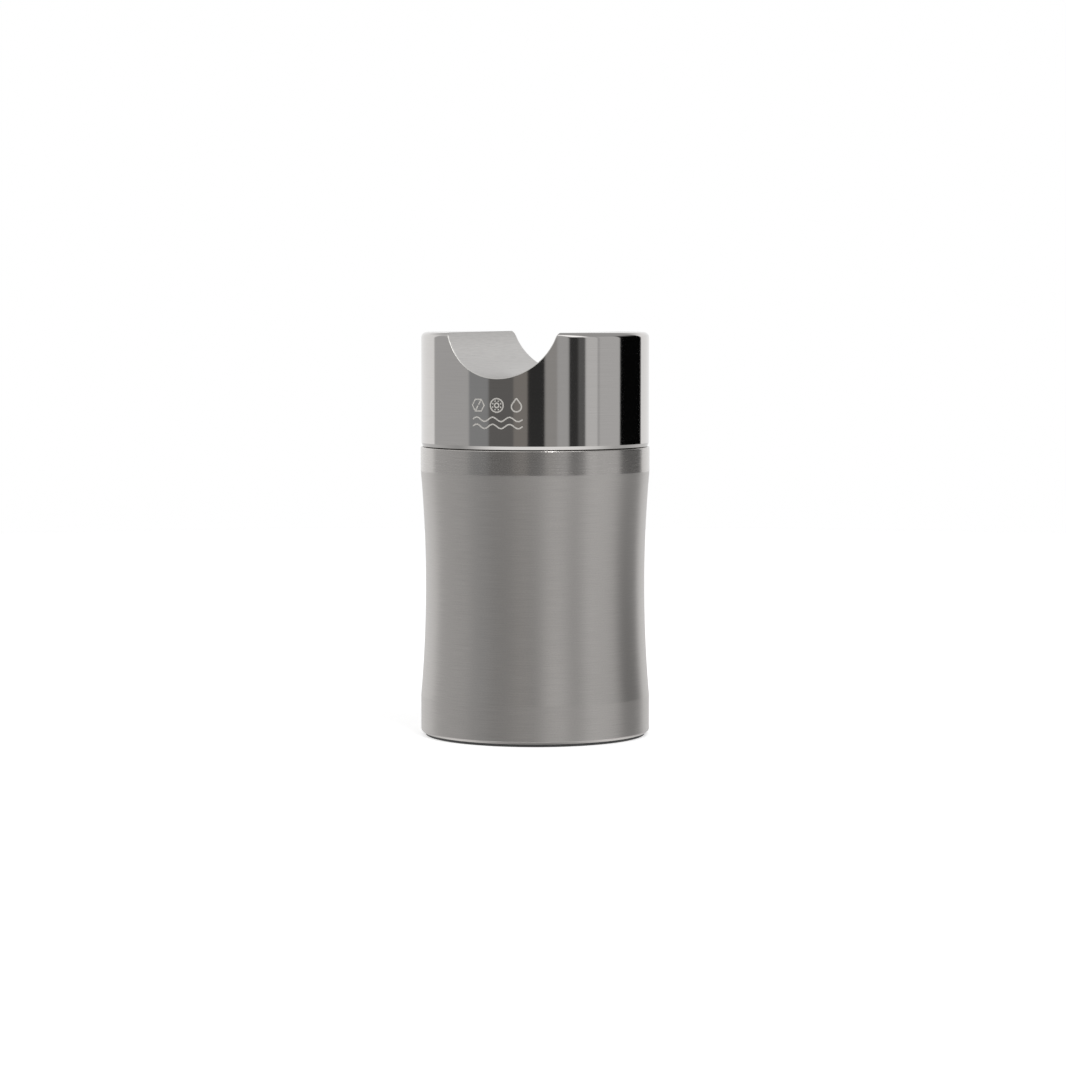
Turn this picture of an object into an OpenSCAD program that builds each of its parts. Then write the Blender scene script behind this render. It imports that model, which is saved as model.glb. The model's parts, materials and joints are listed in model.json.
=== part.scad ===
// Cordless desktop glass grinder. A waisted steel body holds the cells, the
// motor and the bearings. A wet grinding deck with a diamond bit stands on
// top of it, and a lift-off steel head with a half-round rest trough covers
// the deck. The origin is the centre of the foot, +Z is up, and the trough
// runs along Y.

/* [Body] */
// Diameter of the body's two lands
body_d = 40; // [40:0.5:44]
// Height of the body above the foot ring
body_h = 50; // [50:0.5:54]
// Height that the foot ring stands proud of the base
foot_h = 0.5; // [0.4:0.1:0.7]
// Depth of the waist between the lands
waist_depth = 0.86; // [0.3:0.02:1.1]
// Height of the lower land above the base
lower_land_h = 6.5; // [5:0.5:10]
// Height of the upper land below the seam
upper_land_h = 4.2; // [3:0.2:5]

/* [Head] */
// Diameter of the head
head_d = 39.8; // [39.6:0.1:40]
// Height of the head
head_h = 20; // [20:0.5:26]
// Radius of the rest trough
trough_r = 10.2; // [8:0.2:10.4]
// Height of the trough's centre line above the head's top
trough_rise = 2.5; // [2:0.25:4]
// Radius of the head's rounded top edge
top_round = 1.0; // [0.4:0.1:1.4]
// Height of the chamfer on the head's lower edge
head_chamfer_h = 0.6; // [0.3:0.05:0.9]
// Depth of the chamfer on the head's lower edge
head_chamfer_w = 0.2; // [0.1:0.05:0.6]

/* [Drive] */
// Diameter of one dry cell
cell_d = 12; // [11:0.2:12]
// Length of one dry cell
cell_l = 30.2; // [29:0.1:30.2]
// Diameter of the motor
motor_d = 8; // [7.6:0.1:8]
// Length of the motor
motor_l = 20; // [17:0.5:20.5]
// Diameter of the spindle
spindle_d = 3; // [2.8:0.05:3]
// Outer diameter of the spindle bearings
bearing_d = 7; // [7:0.1:7.2]
// Diameter of the diamond bit
bit_d = 6.4; // [6:0.1:6.6]

/* [Deck] */
// Diameter of the drain holes in the deck
drain_hole_d = 1.6; // [1:0.1:1.8]
// Diameter of the power button
button_d = 5.6; // [5:0.1:5.6]
// Distance from the spindle to the power button
button_offset = 9.6; // [9.5:0.05:9.7]
// Turn of the base cap between open and locked
cap_turn = 45; // [35:1:50]

/* [Hidden] */
$fn = 96;

// Slip between pieces of one body, running clearance, and a cutter's overrun
slip = 0.05;
running = 0.03;
over = 1;

// Outside levels and radii
base_z = foot_h;
seam_z = base_z + body_h;
body_r = body_d / 2;
bore_r = body_r - 2.7;
waist_z0 = base_z + lower_land_h;
waist_z1 = seam_z - upper_land_h;
waist_arc_r = (pow((waist_z1 - waist_z0) / 2, 2) + pow(waist_depth, 2)) / (2 * waist_depth);
seam_gap = 0.15;
head_z0 = seam_z + seam_gap;
head_top = seam_z + head_h;
head_r = head_d / 2;
cavity_top = seam_z + 10;

// Foot ring in its groove
foot_r = body_r - 0.75;
foot_w = 0.8;
foot_seat = 0.7;

// Ledge, collar and magnets at the seam
ledge_z = seam_z - 7;
ledge_r = 15.8;
collar_wall = 1.2;
collar_r = ledge_r - collar_wall;
deck_z = seam_z + 3;
cavity_r = ledge_r + 0.15;
magnet_r = 1.25;
magnet_h = 1.5;
magnet_proud = 0.1;
magnet_ring_r = 17.5;

// Stack under the ledge, from the top down
chassis_t = 2.5;
chassis_z = ledge_z - chassis_t;
flange_t = 1.1;
flange_z = chassis_z - flange_t;
upper_board_t = 0.6;
upper_board_z = flange_z - upper_board_t;
strip_t = 0.2;
cell_z1 = upper_board_z - strip_t;
cell_z0 = cell_z1 - cell_l;
cell_r = cell_d / 2;
cell_ring_r = bore_r - slip - cell_r;
cell_angles = [90, 210, 330];
post_angles = [30, 150, 270];
spring_room = 1.4;
carousel_z = cell_z0 - spring_room;
carousel_floor = 1;
carousel_r = bore_r - 0.4;
lower_board_t = 0.8;
lower_board_z = carousel_z - lower_board_t;
pad_t = 0.8;
pad_z = lower_board_z - 0.1 - pad_t;
snap_ring_t = 0.9;
snap_ring_depth = 0.6;

// Base cap and its bayonet
cap_z = base_z + 0.5;
cap_r = bore_r - 0.2;
lug_z = base_z + 2;
lug_h = 1.4;
lug_r = bore_r + 0.9;
lug_w = 28;
lug_play = 3;
track_r = lug_r + 0.2;
cap_seal_z = pad_z - 0.8;

// Spindle housing and its bores
spindle_r = spindle_d / 2;
bearing_r = bearing_d / 2;
bearing_w = 3;
motor_r = motor_d / 2;
sleeve_r = 5;
boss_r = 4.8;
flange_r = 8.5;
chamber_r = 3.6;
lower_bearing_z = chassis_z + 0.5;
upper_bearing_z = lower_bearing_z + 5.5;
seal_z = upper_bearing_z + bearing_w;
housing_top = seal_z + 1.5;
motor_z1 = flange_z - 4.9;
motor_z0 = motor_z1 - motor_l;
sleeve_z = motor_z0 - 2;
retainer_z = motor_z0 - 1.4;
housing_screw_ring = 6.8;
screw_r = 0.8;

// Motor
can_wall = 0.3;
bush_r = 1.2;
bell_h = 1.5;
coil_r = motor_r - 0.6;
coil_wall = 0.45;
tab_drop = 2.4;

// Shaft line
motor_shaft_r = 0.5;
motor_shaft_z1 = motor_z1 + 3.3;
spindle_z0 = motor_shaft_z1 + 0.5;
spindle_z1 = deck_z + 4.5;
coupling_z0 = motor_z1 + 1.2;
coupling_z1 = lower_bearing_z - 0.3;
coupling_r = 3.2;
grub_r = 0.6;
motor_grub_z = motor_shaft_z1 - 1.1;
spindle_grub_z = spindle_z0 + 1.2;
bit_z0 = deck_z + 0.4;
band_z0 = deck_z + 2.1;
bit_z1 = deck_z + 6.2;
band_r = bit_d / 2;
hub_r = 2.4;
hub_skirt_r = 2.9;
hub_grub_z = (bit_z0 + band_z0) / 2;

// Bearing balls
ball_r = 0.5;
ball_ring_r = 2.5;
ball_count = 7;
race_play = 0.02;

// Tray, deck, switch and button
tray_r = collar_r - 0.1;
tray_wall = 0.8;
tray_z = ledge_z + 1;
deck_t = 1;
rim_z = deck_z - deck_t;
standpipe_r = 5.5;
well_r = 3.3;
well_wall = 0.9;
spring_seat_z = tray_z + 3;
post_ring = 12.2;
post_r = 1.6;
switch_board_t = 0.6;
switch_w = 4.2;
switch_h = 1.6;
switch_z = ledge_z + switch_board_t;
actuator_h = 0.5;
button_r = button_d / 2;
button_travel = 0.8;
button_top = deck_z + 1.5;
button_foot_z = switch_z + switch_h + actuator_h + button_travel + 0.1;
button_collar_z = deck_z - 2;
sponge_w = 7.2;
sponge_y0 = 6;
sponge_y1 = 9.6;

// A ring with its axis on Z, from height z0 to z1
module ring(z0, z1, outer, inner) {
    rotate_extrude()
        translate([inner, z0])
            square([outer - inner, z1 - z0]);
}

// An O-ring with its centre circle at radius r and height z
module o_ring(z, r, wire) {
    rotate_extrude()
        translate([r, z])
            circle(r = wire, $fn = 48);
}

// An upright cylinder from height z0 to z1
module post(z0, z1, r) {
    translate([0, 0, z0])
        cylinder(r = r, h = z1 - z0);
}

// Copies its children round the axis at each angle, at radius r
module around(angles, r = 0) {
    for (a = angles)
        rotate(a)
            translate([r, 0, 0])
                children();
}

// Part of a ring that spans w degrees, centred on +X
module sector(z0, z1, outer, inner, w) {
    rotate(-w / 2)
        rotate_extrude(angle = w)
            translate([inner, z0])
                square([outer - inner, z1 - z0]);
}

// A countersunk screw that points up, with its head's face at z0
module flat_screw_up(z0, z1, r, head_r) {
    post(z0, z0 + 0.5, head_r);
    post(z0 + 0.5, z1, r);
}

// A wire coil that rises from z0 to z1 while its radius goes from r0 to r1
module coil(r0, r1, z0, z1, turns, wire, steps, sides) {
    rings = turns * steps;
    points = [
        for (i = [0 : rings], j = [0 : sides - 1])
            let (
                a = 360 * i / steps,
                b = 360 * j / sides,
                r = r0 + (r1 - r0) * i / rings + wire * cos(b),
                z = z0 + wire + (z1 - z0 - 2 * wire) * i / rings + wire * sin(b)
            )
            [r * cos(a), r * sin(a), z]
    ];
    walls = [
        for (i = [0 : rings - 1], j = [0 : sides - 1])
            let (k = (j + 1) % sides)
            [i * sides + j, i * sides + k, (i + 1) * sides + k, (i + 1) * sides + j]
    ];
    first = [for (j = [sides - 1 : -1 : 0]) j];
    last = [for (j = [0 : sides - 1]) rings * sides + j];
    polyhedron(points, concat(walls, [first, last]), convexity = 10);
}

// ---------------------------------------------------------------- body

// Half section of the body's wall and ledge, with the arc of the waist, the
// snap ring's groove and the foot ring's groove cut away
module body_section() {
    edge_top = 0.2;
    edge_base = 0.4;
    difference() {
        polygon([
            [bore_r, base_z],
            [body_r, base_z],
            [body_r, seam_z],
            [ledge_r, seam_z],
            [ledge_r, ledge_z],
            [bore_r, ledge_z]
        ]);
        translate([bore_r - over, chassis_z - snap_ring_t])
            square([over + snap_ring_depth, snap_ring_t]);
        translate([foot_r - foot_w, base_z - over])
            square([foot_w, over + foot_seat]);
        translate([body_r - waist_depth + waist_arc_r, (waist_z0 + waist_z1) / 2])
            circle(r = waist_arc_r, $fn = 256);
        polygon([
            [body_r - edge_top, seam_z + over],
            [body_r - edge_top, seam_z],
            [body_r, seam_z - edge_top],
            [body_r + over, seam_z - edge_top],
            [body_r + over, seam_z + over]
        ]);
        polygon([
            [body_r - edge_base, base_z - over],
            [body_r - edge_base, base_z],
            [body_r, base_z + edge_base],
            [body_r + over, base_z + edge_base],
            [body_r + over, base_z - over]
        ]);
    }
}

// One bayonet way: a slot up from the base, then a track round to the lock
module bayonet_way() {
    slot_w = lug_w + 2 * lug_play;
    rotate(-cap_turn)
        sector(base_z - over, lug_z, track_r, bore_r - over, slot_w);
    rotate(-cap_turn / 2)
        sector(lug_z - 0.1, lug_z + lug_h + 0.1, track_r, bore_r - over, slot_w + cap_turn + 2);
}

module body_shell() {
    color([0.62, 0.61, 0.60])
    difference() {
        rotate_extrude()
            body_section();
        around([0 : 90 : 270], magnet_ring_r)
            post(seam_z - magnet_h, seam_z + over, magnet_r);
        around(post_angles)
            bayonet_way();
    }
}

module foot_ring() {
    color([0.10, 0.10, 0.10])
    ring(0, base_z + foot_seat, foot_r, foot_r - foot_w);
}

module body_magnets() {
    color([0.75, 0.75, 0.77])
    around([0 : 90 : 270], magnet_ring_r)
        post(seam_z - magnet_h, seam_z, magnet_r);
}

module spigot_collar() {
    color([0.70, 0.70, 0.70])
    difference() {
        ring(ledge_z + 0.5, deck_z, ledge_r, collar_r);
        o_ring(seam_z + 1.5, ledge_r - 0.35, 0.45);
    }
}

module spigot_seal() {
    color([0.12, 0.12, 0.12])
    o_ring(seam_z + 1.5, ledge_r - 0.35, 0.42);
}

// ------------------------------------------------- chassis and spindle housing

module chassis_plate() {
    color([0.20, 0.21, 0.22])
    difference() {
        ring(chassis_z, ledge_z, bore_r - slip, boss_r);
        around(post_angles, housing_screw_ring)
            post(chassis_z - over, chassis_z + 2, screw_r);
        around([0, 180], post_ring)
            post(chassis_z + 0.5, ledge_z + over, screw_r);
        translate([-3, -button_offset - 1.3, chassis_z - over])
            cube([6, 1.4, chassis_t + 2 * over]);
    }
}

module chassis_ring() {
    color([0.55, 0.55, 0.56])
    rotate(90)
        sector(chassis_z - snap_ring_t, chassis_z, bore_r + snap_ring_depth, bore_r - 1.2, 310);
}

module spindle_housing() {
    color([0.78, 0.79, 0.80])
    difference() {
        union() {
            post(sleeve_z, flange_z, sleeve_r);
            post(flange_z, chassis_z, flange_r);
            post(chassis_z, housing_top, boss_r);
        }
        post(sleeve_z - over, motor_z1, motor_r);
        post(motor_z1 - over, lower_bearing_z, chamber_r);
        post(lower_bearing_z, lower_bearing_z + bearing_w, bearing_r);
        post(lower_bearing_z, upper_bearing_z, 2.8);
        post(upper_bearing_z, housing_top + over, bearing_r);
        around(post_angles, housing_screw_ring) {
            post(flange_z - over, flange_z + 0.5, 1.35);
            post(flange_z, chassis_z + over, screw_r);
        }
    }
}

module housing_screws() {
    color([0.60, 0.60, 0.62])
    difference() {
        around(post_angles, housing_screw_ring)
            flat_screw_up(flange_z, chassis_z + 1.9, screw_r, 1.35);
        around(post_angles, housing_screw_ring)
            translate([0, 0, flange_z - over])
                cylinder(r = 0.5, h = over + 0.3, $fn = 6);
    }
}

module bearing_pair() {
    for (z = [lower_bearing_z, upper_bearing_z])
        translate([0, 0, z])
            children();
}

module bearing_outer_races() {
    color([0.72, 0.73, 0.75])
    bearing_pair()
        difference() {
            ring(0, bearing_w, bearing_r, ball_ring_r + 0.4);
            o_ring(bearing_w / 2, ball_ring_r, ball_r + race_play);
        }
}

module bearing_balls() {
    color([0.80, 0.80, 0.82])
    bearing_pair()
        around([for (i = [0 : ball_count - 1]) 360 * i / ball_count], ball_ring_r)
            translate([0, 0, bearing_w / 2])
                sphere(r = ball_r, $fn = 32);
}

module bearing_shields() {
    shield_t = 0.25;
    color([0.66, 0.67, 0.68])
    bearing_pair()
        for (z = [0.1, bearing_w - 0.1 - shield_t])
            ring(z, z + shield_t, ball_ring_r + 0.4, ball_ring_r - 0.3);
}

module shaft_seal() {
    color([0.15, 0.13, 0.12])
    ring(seal_z, housing_top, bearing_r, spindle_r + running);
}

// ---------------------------------------------------------------- motor

module motor_can() {
    color([0.72, 0.72, 0.74])
    difference() {
        post(motor_z0, motor_z1, motor_r);
        post(motor_z0 - over, motor_z1 - 0.6, motor_r - can_wall);
        post(motor_z0, motor_z1 + over, bush_r);
    }
}

module motor_bushes() {
    color([0.72, 0.55, 0.28])
    {
        ring(motor_z0, motor_z0 + bell_h, bush_r, motor_shaft_r + running);
        ring(motor_z1 - 1.4, motor_z1, bush_r, motor_shaft_r + running);
    }
}

module motor_magnet() {
    color([0.35, 0.35, 0.37])
    difference() {
        post(motor_z0 + 4.2, motor_z1 - 0.6, coil_r - coil_wall - 0.2);
        post(motor_z0, motor_z1 - 1.4, 0.9);
        post(motor_z0, motor_z1 + over, bush_r);
    }
}

module motor_end_bell() {
    color([0.92, 0.92, 0.88])
    difference() {
        ring(motor_z0, motor_z0 + bell_h, motor_r - can_wall, bush_r);
        terminal_pair();
    }
}

// The two solder tabs, drawn past the end bell so that they can cut its slots
module terminal_pair() {
    for (side = [-1, 1])
        translate([side * 2.2 - 0.2, -0.6, motor_z0 - tab_drop])
            cube([0.4, 1.2, tab_drop + bell_h + over]);
}

module motor_terminals() {
    color([0.80, 0.62, 0.32])
    intersection() {
        terminal_pair();
        post(motor_z0 - tab_drop, motor_z0 + bell_h, motor_r);
    }
}

module motor_brushes() {
    color([0.75, 0.52, 0.30])
    for (side = [-1, 1])
        translate([side * 1.75 - 0.6, -0.4, motor_z0 + bell_h])
            cube([1.2, 0.8, 0.8]);
}

module motor_retainer() {
    color([0.62, 0.62, 0.64])
    difference() {
        ring(retainer_z, motor_z0, motor_r, 3);
        for (a = [0, 90])
            rotate(a)
                translate([-motor_r - over, -0.4, retainer_z - over])
                    cube([2 * motor_r + 2 * over, 0.8, over + 0.5]);
    }
}

module motor_leads() {
    color([0.75, 0.12, 0.10])
    around([0, 180], 2.2)
        post(carousel_z, motor_z0 - tab_drop, 0.4);
}

module motor_shaft() {
    color([0.70, 0.70, 0.72])
    post(motor_z0 + 0.1, motor_shaft_z1, motor_shaft_r);
}

module motor_coil() {
    cup_z = motor_z0 + 3;
    color([0.72, 0.40, 0.20])
    {
        ring(cup_z + 0.8, motor_z1 - 2.5, coil_r, coil_r - coil_wall);
        ring(cup_z, cup_z + 0.8, coil_r, motor_shaft_r);
    }
}

module motor_commutator() {
    color([0.80, 0.55, 0.30])
    ring(motor_z0 + bell_h + 0.1, motor_z0 + 3, 1.1, motor_shaft_r);
}

// ---------------------------------------------------------------- power

// The disc with its three cell pockets and the hole for the motor sleeve
module pocket_disc(z0, z1, pocket, centre) {
    translate([0, 0, z0])
        linear_extrude(z1 - z0)
            difference() {
                circle(r = carousel_r);
                circle(r = centre);
                around(cell_angles, cell_ring_r)
                    circle(r = pocket);
            }
}

// The two conductors that run up inside the posts beside the switch
module risers() {
    for (a = [30, 150])
        rotate(a)
            translate([carousel_r - 1.6, -1.25, carousel_z])
                cube([0.3, 2.5, upper_board_z - carousel_z]);
}

module battery_carousel() {
    color([0.16, 0.17, 0.19])
    difference() {
        union() {
            pocket_disc(carousel_z, carousel_z + carousel_floor, 4.6, 3.2);
            pocket_disc(carousel_z + carousel_floor, cell_z1, cell_r + 0.1, sleeve_r + 0.2);
        }
        risers();
    }
}

module battery_cells() {
    tip_h = 0.8;
    color([0.30, 0.42, 0.52])
    around(cell_angles, cell_ring_r) {
        post(cell_z0, cell_z1 - tip_h, cell_r);
        post(cell_z1 - tip_h, cell_z1, 2.2);
    }
}

module cell_springs() {
    color([0.78, 0.78, 0.80])
    around(cell_angles, cell_ring_r)
        coil(3.6, 2.2, carousel_z, cell_z0, 3, 0.2, 14, 6);
}

module lower_contact_board() {
    color([0.10, 0.32, 0.20])
    post(lower_board_z, carousel_z, carousel_r);
}

module upper_contact_board() {
    color([0.10, 0.32, 0.20])
    ring(upper_board_z, flange_z, carousel_r, sleeve_r + 0.2);
}

module upper_contacts() {
    color([0.82, 0.80, 0.72])
    {
        rotate((cell_angles[0] + cell_angles[1]) / 2)
            sector(cell_z1, upper_board_z, cell_ring_r + 2, cell_ring_r - 2, 130);
        rotate(cell_angles[2])
            sector(cell_z1, upper_board_z, cell_ring_r + 2, cell_ring_r - 2, 20);
    }
}

module riser_strips() {
    color([0.82, 0.80, 0.72])
    risers();
}

module switch_leads() {
    color([0.12, 0.12, 0.13])
    for (x = [-2, 2])
        translate([x, -button_offset - 0.6, 0])
            post(flange_z, ledge_z, 0.4);
}

module switch_board() {
    color([0.10, 0.32, 0.20])
    translate([-4.5, -button_offset - 3.8, ledge_z])
        cube([9, 8, switch_board_t]);
}

module power_switch() {
    color([0.20, 0.20, 0.21])
    translate([0, -button_offset, switch_z]) {
        translate([-switch_w / 2, -switch_w / 2, 0])
            cube([switch_w, switch_w, switch_h]);
        post(switch_h, switch_h + actuator_h, 1);
    }
}

// ---------------------------------------------------------------- wet deck

module water_tray() {
    color([0.22, 0.23, 0.25])
    difference() {
        union() {
            ring(tray_z, tray_z + tray_wall, tray_r, boss_r);
            ring(tray_z, rim_z, tray_r, tray_r - tray_wall);
            post(tray_z, housing_top - 0.5, standpipe_r);
            translate([0, -button_offset, 0])
                post(tray_z, rim_z - 0.1, well_r + well_wall);
            around([0, 180], post_ring)
                post(ledge_z, rim_z, post_r);
        }
        post(tray_z - over, housing_top + over, boss_r + slip);
        around([0, 180], post_ring)
            post(ledge_z - over, rim_z + over, screw_r);
        translate([0, -button_offset, 0]) {
            post(tray_z - over, spring_seat_z, well_r);
            post(spring_seat_z, spring_seat_z + over, 1.4);
            post(spring_seat_z + 0.6, rim_z + over, well_r);
        }
    }
}

// True where a drain hole is clear of the button, the screws and the sponge
function drain_ok(p) =
    norm(p - [0, -button_offset]) > 4.5
    && norm([abs(p[0]) - post_ring, p[1]]) > 2.8
    && !(abs(p[0]) < 5.2 && p[1] > 3.5 && p[1] < 11.5);

// Places of the drain holes, on four circles
drain_rings = [4.6, 7.3, 10, 12.7];
drain_places = [
    for (r = drain_rings)
        let (n = round(2 * PI * r / 2.9))
        for (i = [0 : n - 1])
            let (a = 360 * i / n + 90, p = r * [cos(a), sin(a)])
            if (drain_ok(p)) p
];

module work_deck() {
    color([0.30, 0.31, 0.33])
    translate([0, 0, rim_z])
        difference() {
            linear_extrude(deck_t)
                difference() {
                    circle(r = tray_r);
                    circle(r = spindle_r + 0.7);
                    translate([0, -button_offset])
                        circle(r = button_r + 0.2);
                    translate([-sponge_w / 2 - 0.1, sponge_y0 - 0.1])
                        square([sponge_w + 0.2, sponge_y1 - sponge_y0 + 0.2]);
                    around([0, 180], post_ring)
                        circle(r = screw_r);
                    for (p = drain_places)
                        translate(p)
                            circle(d = drain_hole_d, $fn = 32);
                }
            around([0, 180], post_ring)
                post(deck_t - 0.5, deck_t + over, 1.45);
        }
}

module deck_screws() {
    color([0.62, 0.62, 0.64])
    difference() {
        around([0, 180], post_ring)
            mirror([0, 0, 1])
                flat_screw_up(-deck_z, -chassis_z - 0.6, screw_r, 1.45);
        around([0, 180], post_ring)
            translate([0, 0, deck_z - 0.35])
                cylinder(r = 0.55, h = over, $fn = 6);
    }
}

module coolant_sponge() {
    color([0.85, 0.72, 0.30])
    {
        translate([-sponge_w / 2, sponge_y0, tray_z + tray_wall])
            cube([sponge_w, sponge_y1 - sponge_y0, deck_z + 0.1 - tray_z - tray_wall]);
        translate([-sponge_w / 2 - 0.4, band_r + 0.4, deck_z + 0.1])
            cube([sponge_w + 0.8, sponge_y1 + 0.2 - band_r - 0.4, 4.4]);
    }
}

module button_cap() {
    color([0.75, 0.16, 0.12])
    translate([0, -button_offset, 0])
        difference() {
            union() {
                post(button_collar_z + 0.7, button_top, button_r);
                post(button_collar_z, button_collar_z + 0.7, well_r - 0.15);
                post(button_foot_z, button_collar_z, 1.1);
            }
            o_ring(deck_z - 0.5, button_r - 0.15, 0.3);
        }
}

module button_seal() {
    color([0.12, 0.12, 0.12])
    translate([0, -button_offset, 0])
        o_ring(deck_z - 0.5, button_r - 0.15, 0.28);
}

module button_spring() {
    color([0.78, 0.78, 0.80])
    translate([0, -button_offset, 0])
        coil(1.9, 1.9, spring_seat_z + 0.6, button_collar_z, 4, 0.2, 14, 6);
}

// ---------------------------------------------------------------- spindle

module spindle_shaft() {
    tip = 0.3;
    color([0.74, 0.74, 0.76])
    rotate_extrude()
        polygon([
            [0, spindle_z0],
            [spindle_r, spindle_z0],
            [spindle_r, spindle_z1 - tip],
            [spindle_r - tip, spindle_z1],
            [0, spindle_z1]
        ]);
}

// A radial grub screw at height z, from radius r0 out to radius r1
module grub(z, r0, r1) {
    translate([r0, 0, z])
        rotate([0, 90, 0])
            cylinder(r = grub_r, h = r1 - r0);
}

module shaft_coupling() {
    color([0.80, 0.80, 0.82])
    difference() {
        post(coupling_z0, coupling_z1, coupling_r);
        post(coupling_z0 - over, spindle_z0, motor_shaft_r);
        post(spindle_z0, coupling_z1 + over, spindle_r);
        grub(motor_grub_z, 0, coupling_r + over);
        grub(spindle_grub_z, 0, coupling_r + over);
    }
}

module coupling_screws() {
    color([0.35, 0.35, 0.37])
    {
        grub(motor_grub_z, motor_shaft_r, coupling_r - 0.2);
        grub(spindle_grub_z, spindle_r, coupling_r - 0.2);
    }
}

module bearing_inner_races() {
    color([0.72, 0.73, 0.75])
    bearing_pair()
        difference() {
            ring(0, bearing_w, ball_ring_r - 0.4, spindle_r);
            o_ring(bearing_w / 2, ball_ring_r, ball_r + race_play);
        }
}

module spindle_slinger() {
    color([0.15, 0.15, 0.15])
    ring(housing_top + 0.2, housing_top + 0.7, 3, spindle_r);
}

module bit_hub() {
    color([0.78, 0.62, 0.32])
    difference() {
        union() {
            post(bit_z0, band_z0, hub_skirt_r);
            post(band_z0, bit_z1, hub_r);
        }
        post(bit_z0 - over, spindle_z1, spindle_r);
        grub(hub_grub_z, 0, hub_skirt_r + over);
    }
}

module bit_diamond_band() {
    color([0.45, 0.46, 0.48])
    ring(band_z0, bit_z1, band_r, hub_r);
}

module bit_set_screw() {
    color([0.30, 0.30, 0.32])
    difference() {
        grub(hub_grub_z, spindle_r, hub_skirt_r - 0.1);
        translate([hub_skirt_r - 0.5, 0, hub_grub_z])
            rotate([0, 90, 0])
                cylinder(r = 0.3, h = over, $fn = 6);
    }
}

// ---------------------------------------------------------------- base cap

module base_cap() {
    coin_slot = [16, 1.8, 1.2];
    color([0.60, 0.60, 0.60])
    difference() {
        union() {
            post(cap_z, pad_z, cap_r);
            around(post_angles)
                sector(lug_z, lug_z + lug_h, lug_r, cap_r - 1, lug_w);
        }
        ring(cap_seal_z - 0.5, cap_seal_z + 0.5, cap_r + over, cap_r - 0.75);
        translate([-coin_slot[0] / 2, -coin_slot[1] / 2, cap_z - over])
            cube([coin_slot[0], coin_slot[1], coin_slot[2] + over]);
    }
}

module base_seal() {
    color([0.12, 0.12, 0.12])
    o_ring(cap_seal_z, cap_r - 0.28, 0.45);
}

module cap_pad() {
    color([0.20, 0.20, 0.20])
    ring(pad_z, pad_z + pad_t, 15, 9);
}

// ---------------------------------------------------------------- head

// Half section of the head's outside, with its rounded top edge
module head_outline() {
    difference() {
        translate([0, head_z0])
            square([head_r, head_top - head_z0]);
        polygon([
            [head_r - head_chamfer_w, head_z0 - over],
            [head_r - head_chamfer_w, head_z0],
            [head_r, head_z0 + head_chamfer_h],
            [head_r + over, head_z0 + head_chamfer_h],
            [head_r + over, head_z0 - over]
        ]);
        difference() {
            translate([head_r - top_round, head_top - top_round])
                square([top_round + over, top_round + over]);
            translate([head_r - top_round, head_top - top_round])
                circle(r = top_round, $fn = 64);
        }
    }
}

module head_shell() {
    color([0.55, 0.55, 0.56])
    difference() {
        rotate_extrude()
            head_outline();
        post(head_z0 - over, cavity_top, cavity_r);
        translate([0, 0, head_top + trough_rise])
            rotate([90, 0, 0])
                cylinder(r = trough_r, h = head_d + 2 * over, center = true, $fn = 128);
        around([0 : 90 : 270], magnet_ring_r)
            post(head_z0 - over, head_z0 - magnet_proud + magnet_h, magnet_r);
    }
}

// Stand a little proud, so that the two rims never rub
module head_magnets() {
    color([0.75, 0.75, 0.77])
    around([0 : 90 : 270], magnet_ring_r)
        translate([0, 0, head_z0 - magnet_proud])
            cylinder(r = magnet_r, h = magnet_h);
}

body_shell();
foot_ring();
body_magnets();
spigot_collar();
spigot_seal();
chassis_plate();
chassis_ring();
spindle_housing();
housing_screws();
bearing_outer_races();
bearing_balls();
bearing_shields();
shaft_seal();
motor_can();
motor_magnet();
motor_end_bell();
motor_brushes();
motor_terminals();
motor_bushes();
motor_retainer();
motor_leads();
battery_carousel();
battery_cells();
cell_springs();
lower_contact_board();
upper_contact_board();
upper_contacts();
riser_strips();
switch_leads();
switch_board();
power_switch();
water_tray();
work_deck();
deck_screws();
coolant_sponge();
button_spring();
button_cap();
button_seal();
spindle_shaft();
motor_shaft();
motor_coil();
motor_commutator();
shaft_coupling();
coupling_screws();
bearing_inner_races();
spindle_slinger();
bit_hub();
bit_diamond_band();
bit_set_screw();
base_cap();
base_seal();
cap_pad();
head_shell();
head_magnets();
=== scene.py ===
"""Cordless desktop glass grinder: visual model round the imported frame.

The polished head and the waisted body are rebuilt as fine turned meshes with
broken edges, the sponge, the diamond band and the deck get their own meshes,
and every other piece keeps its CAD mesh and gets a procedural finish.
"""
import json
import math

import bmesh
import bpy
from mathutils import Matrix, Vector, noise as noise_field


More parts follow.
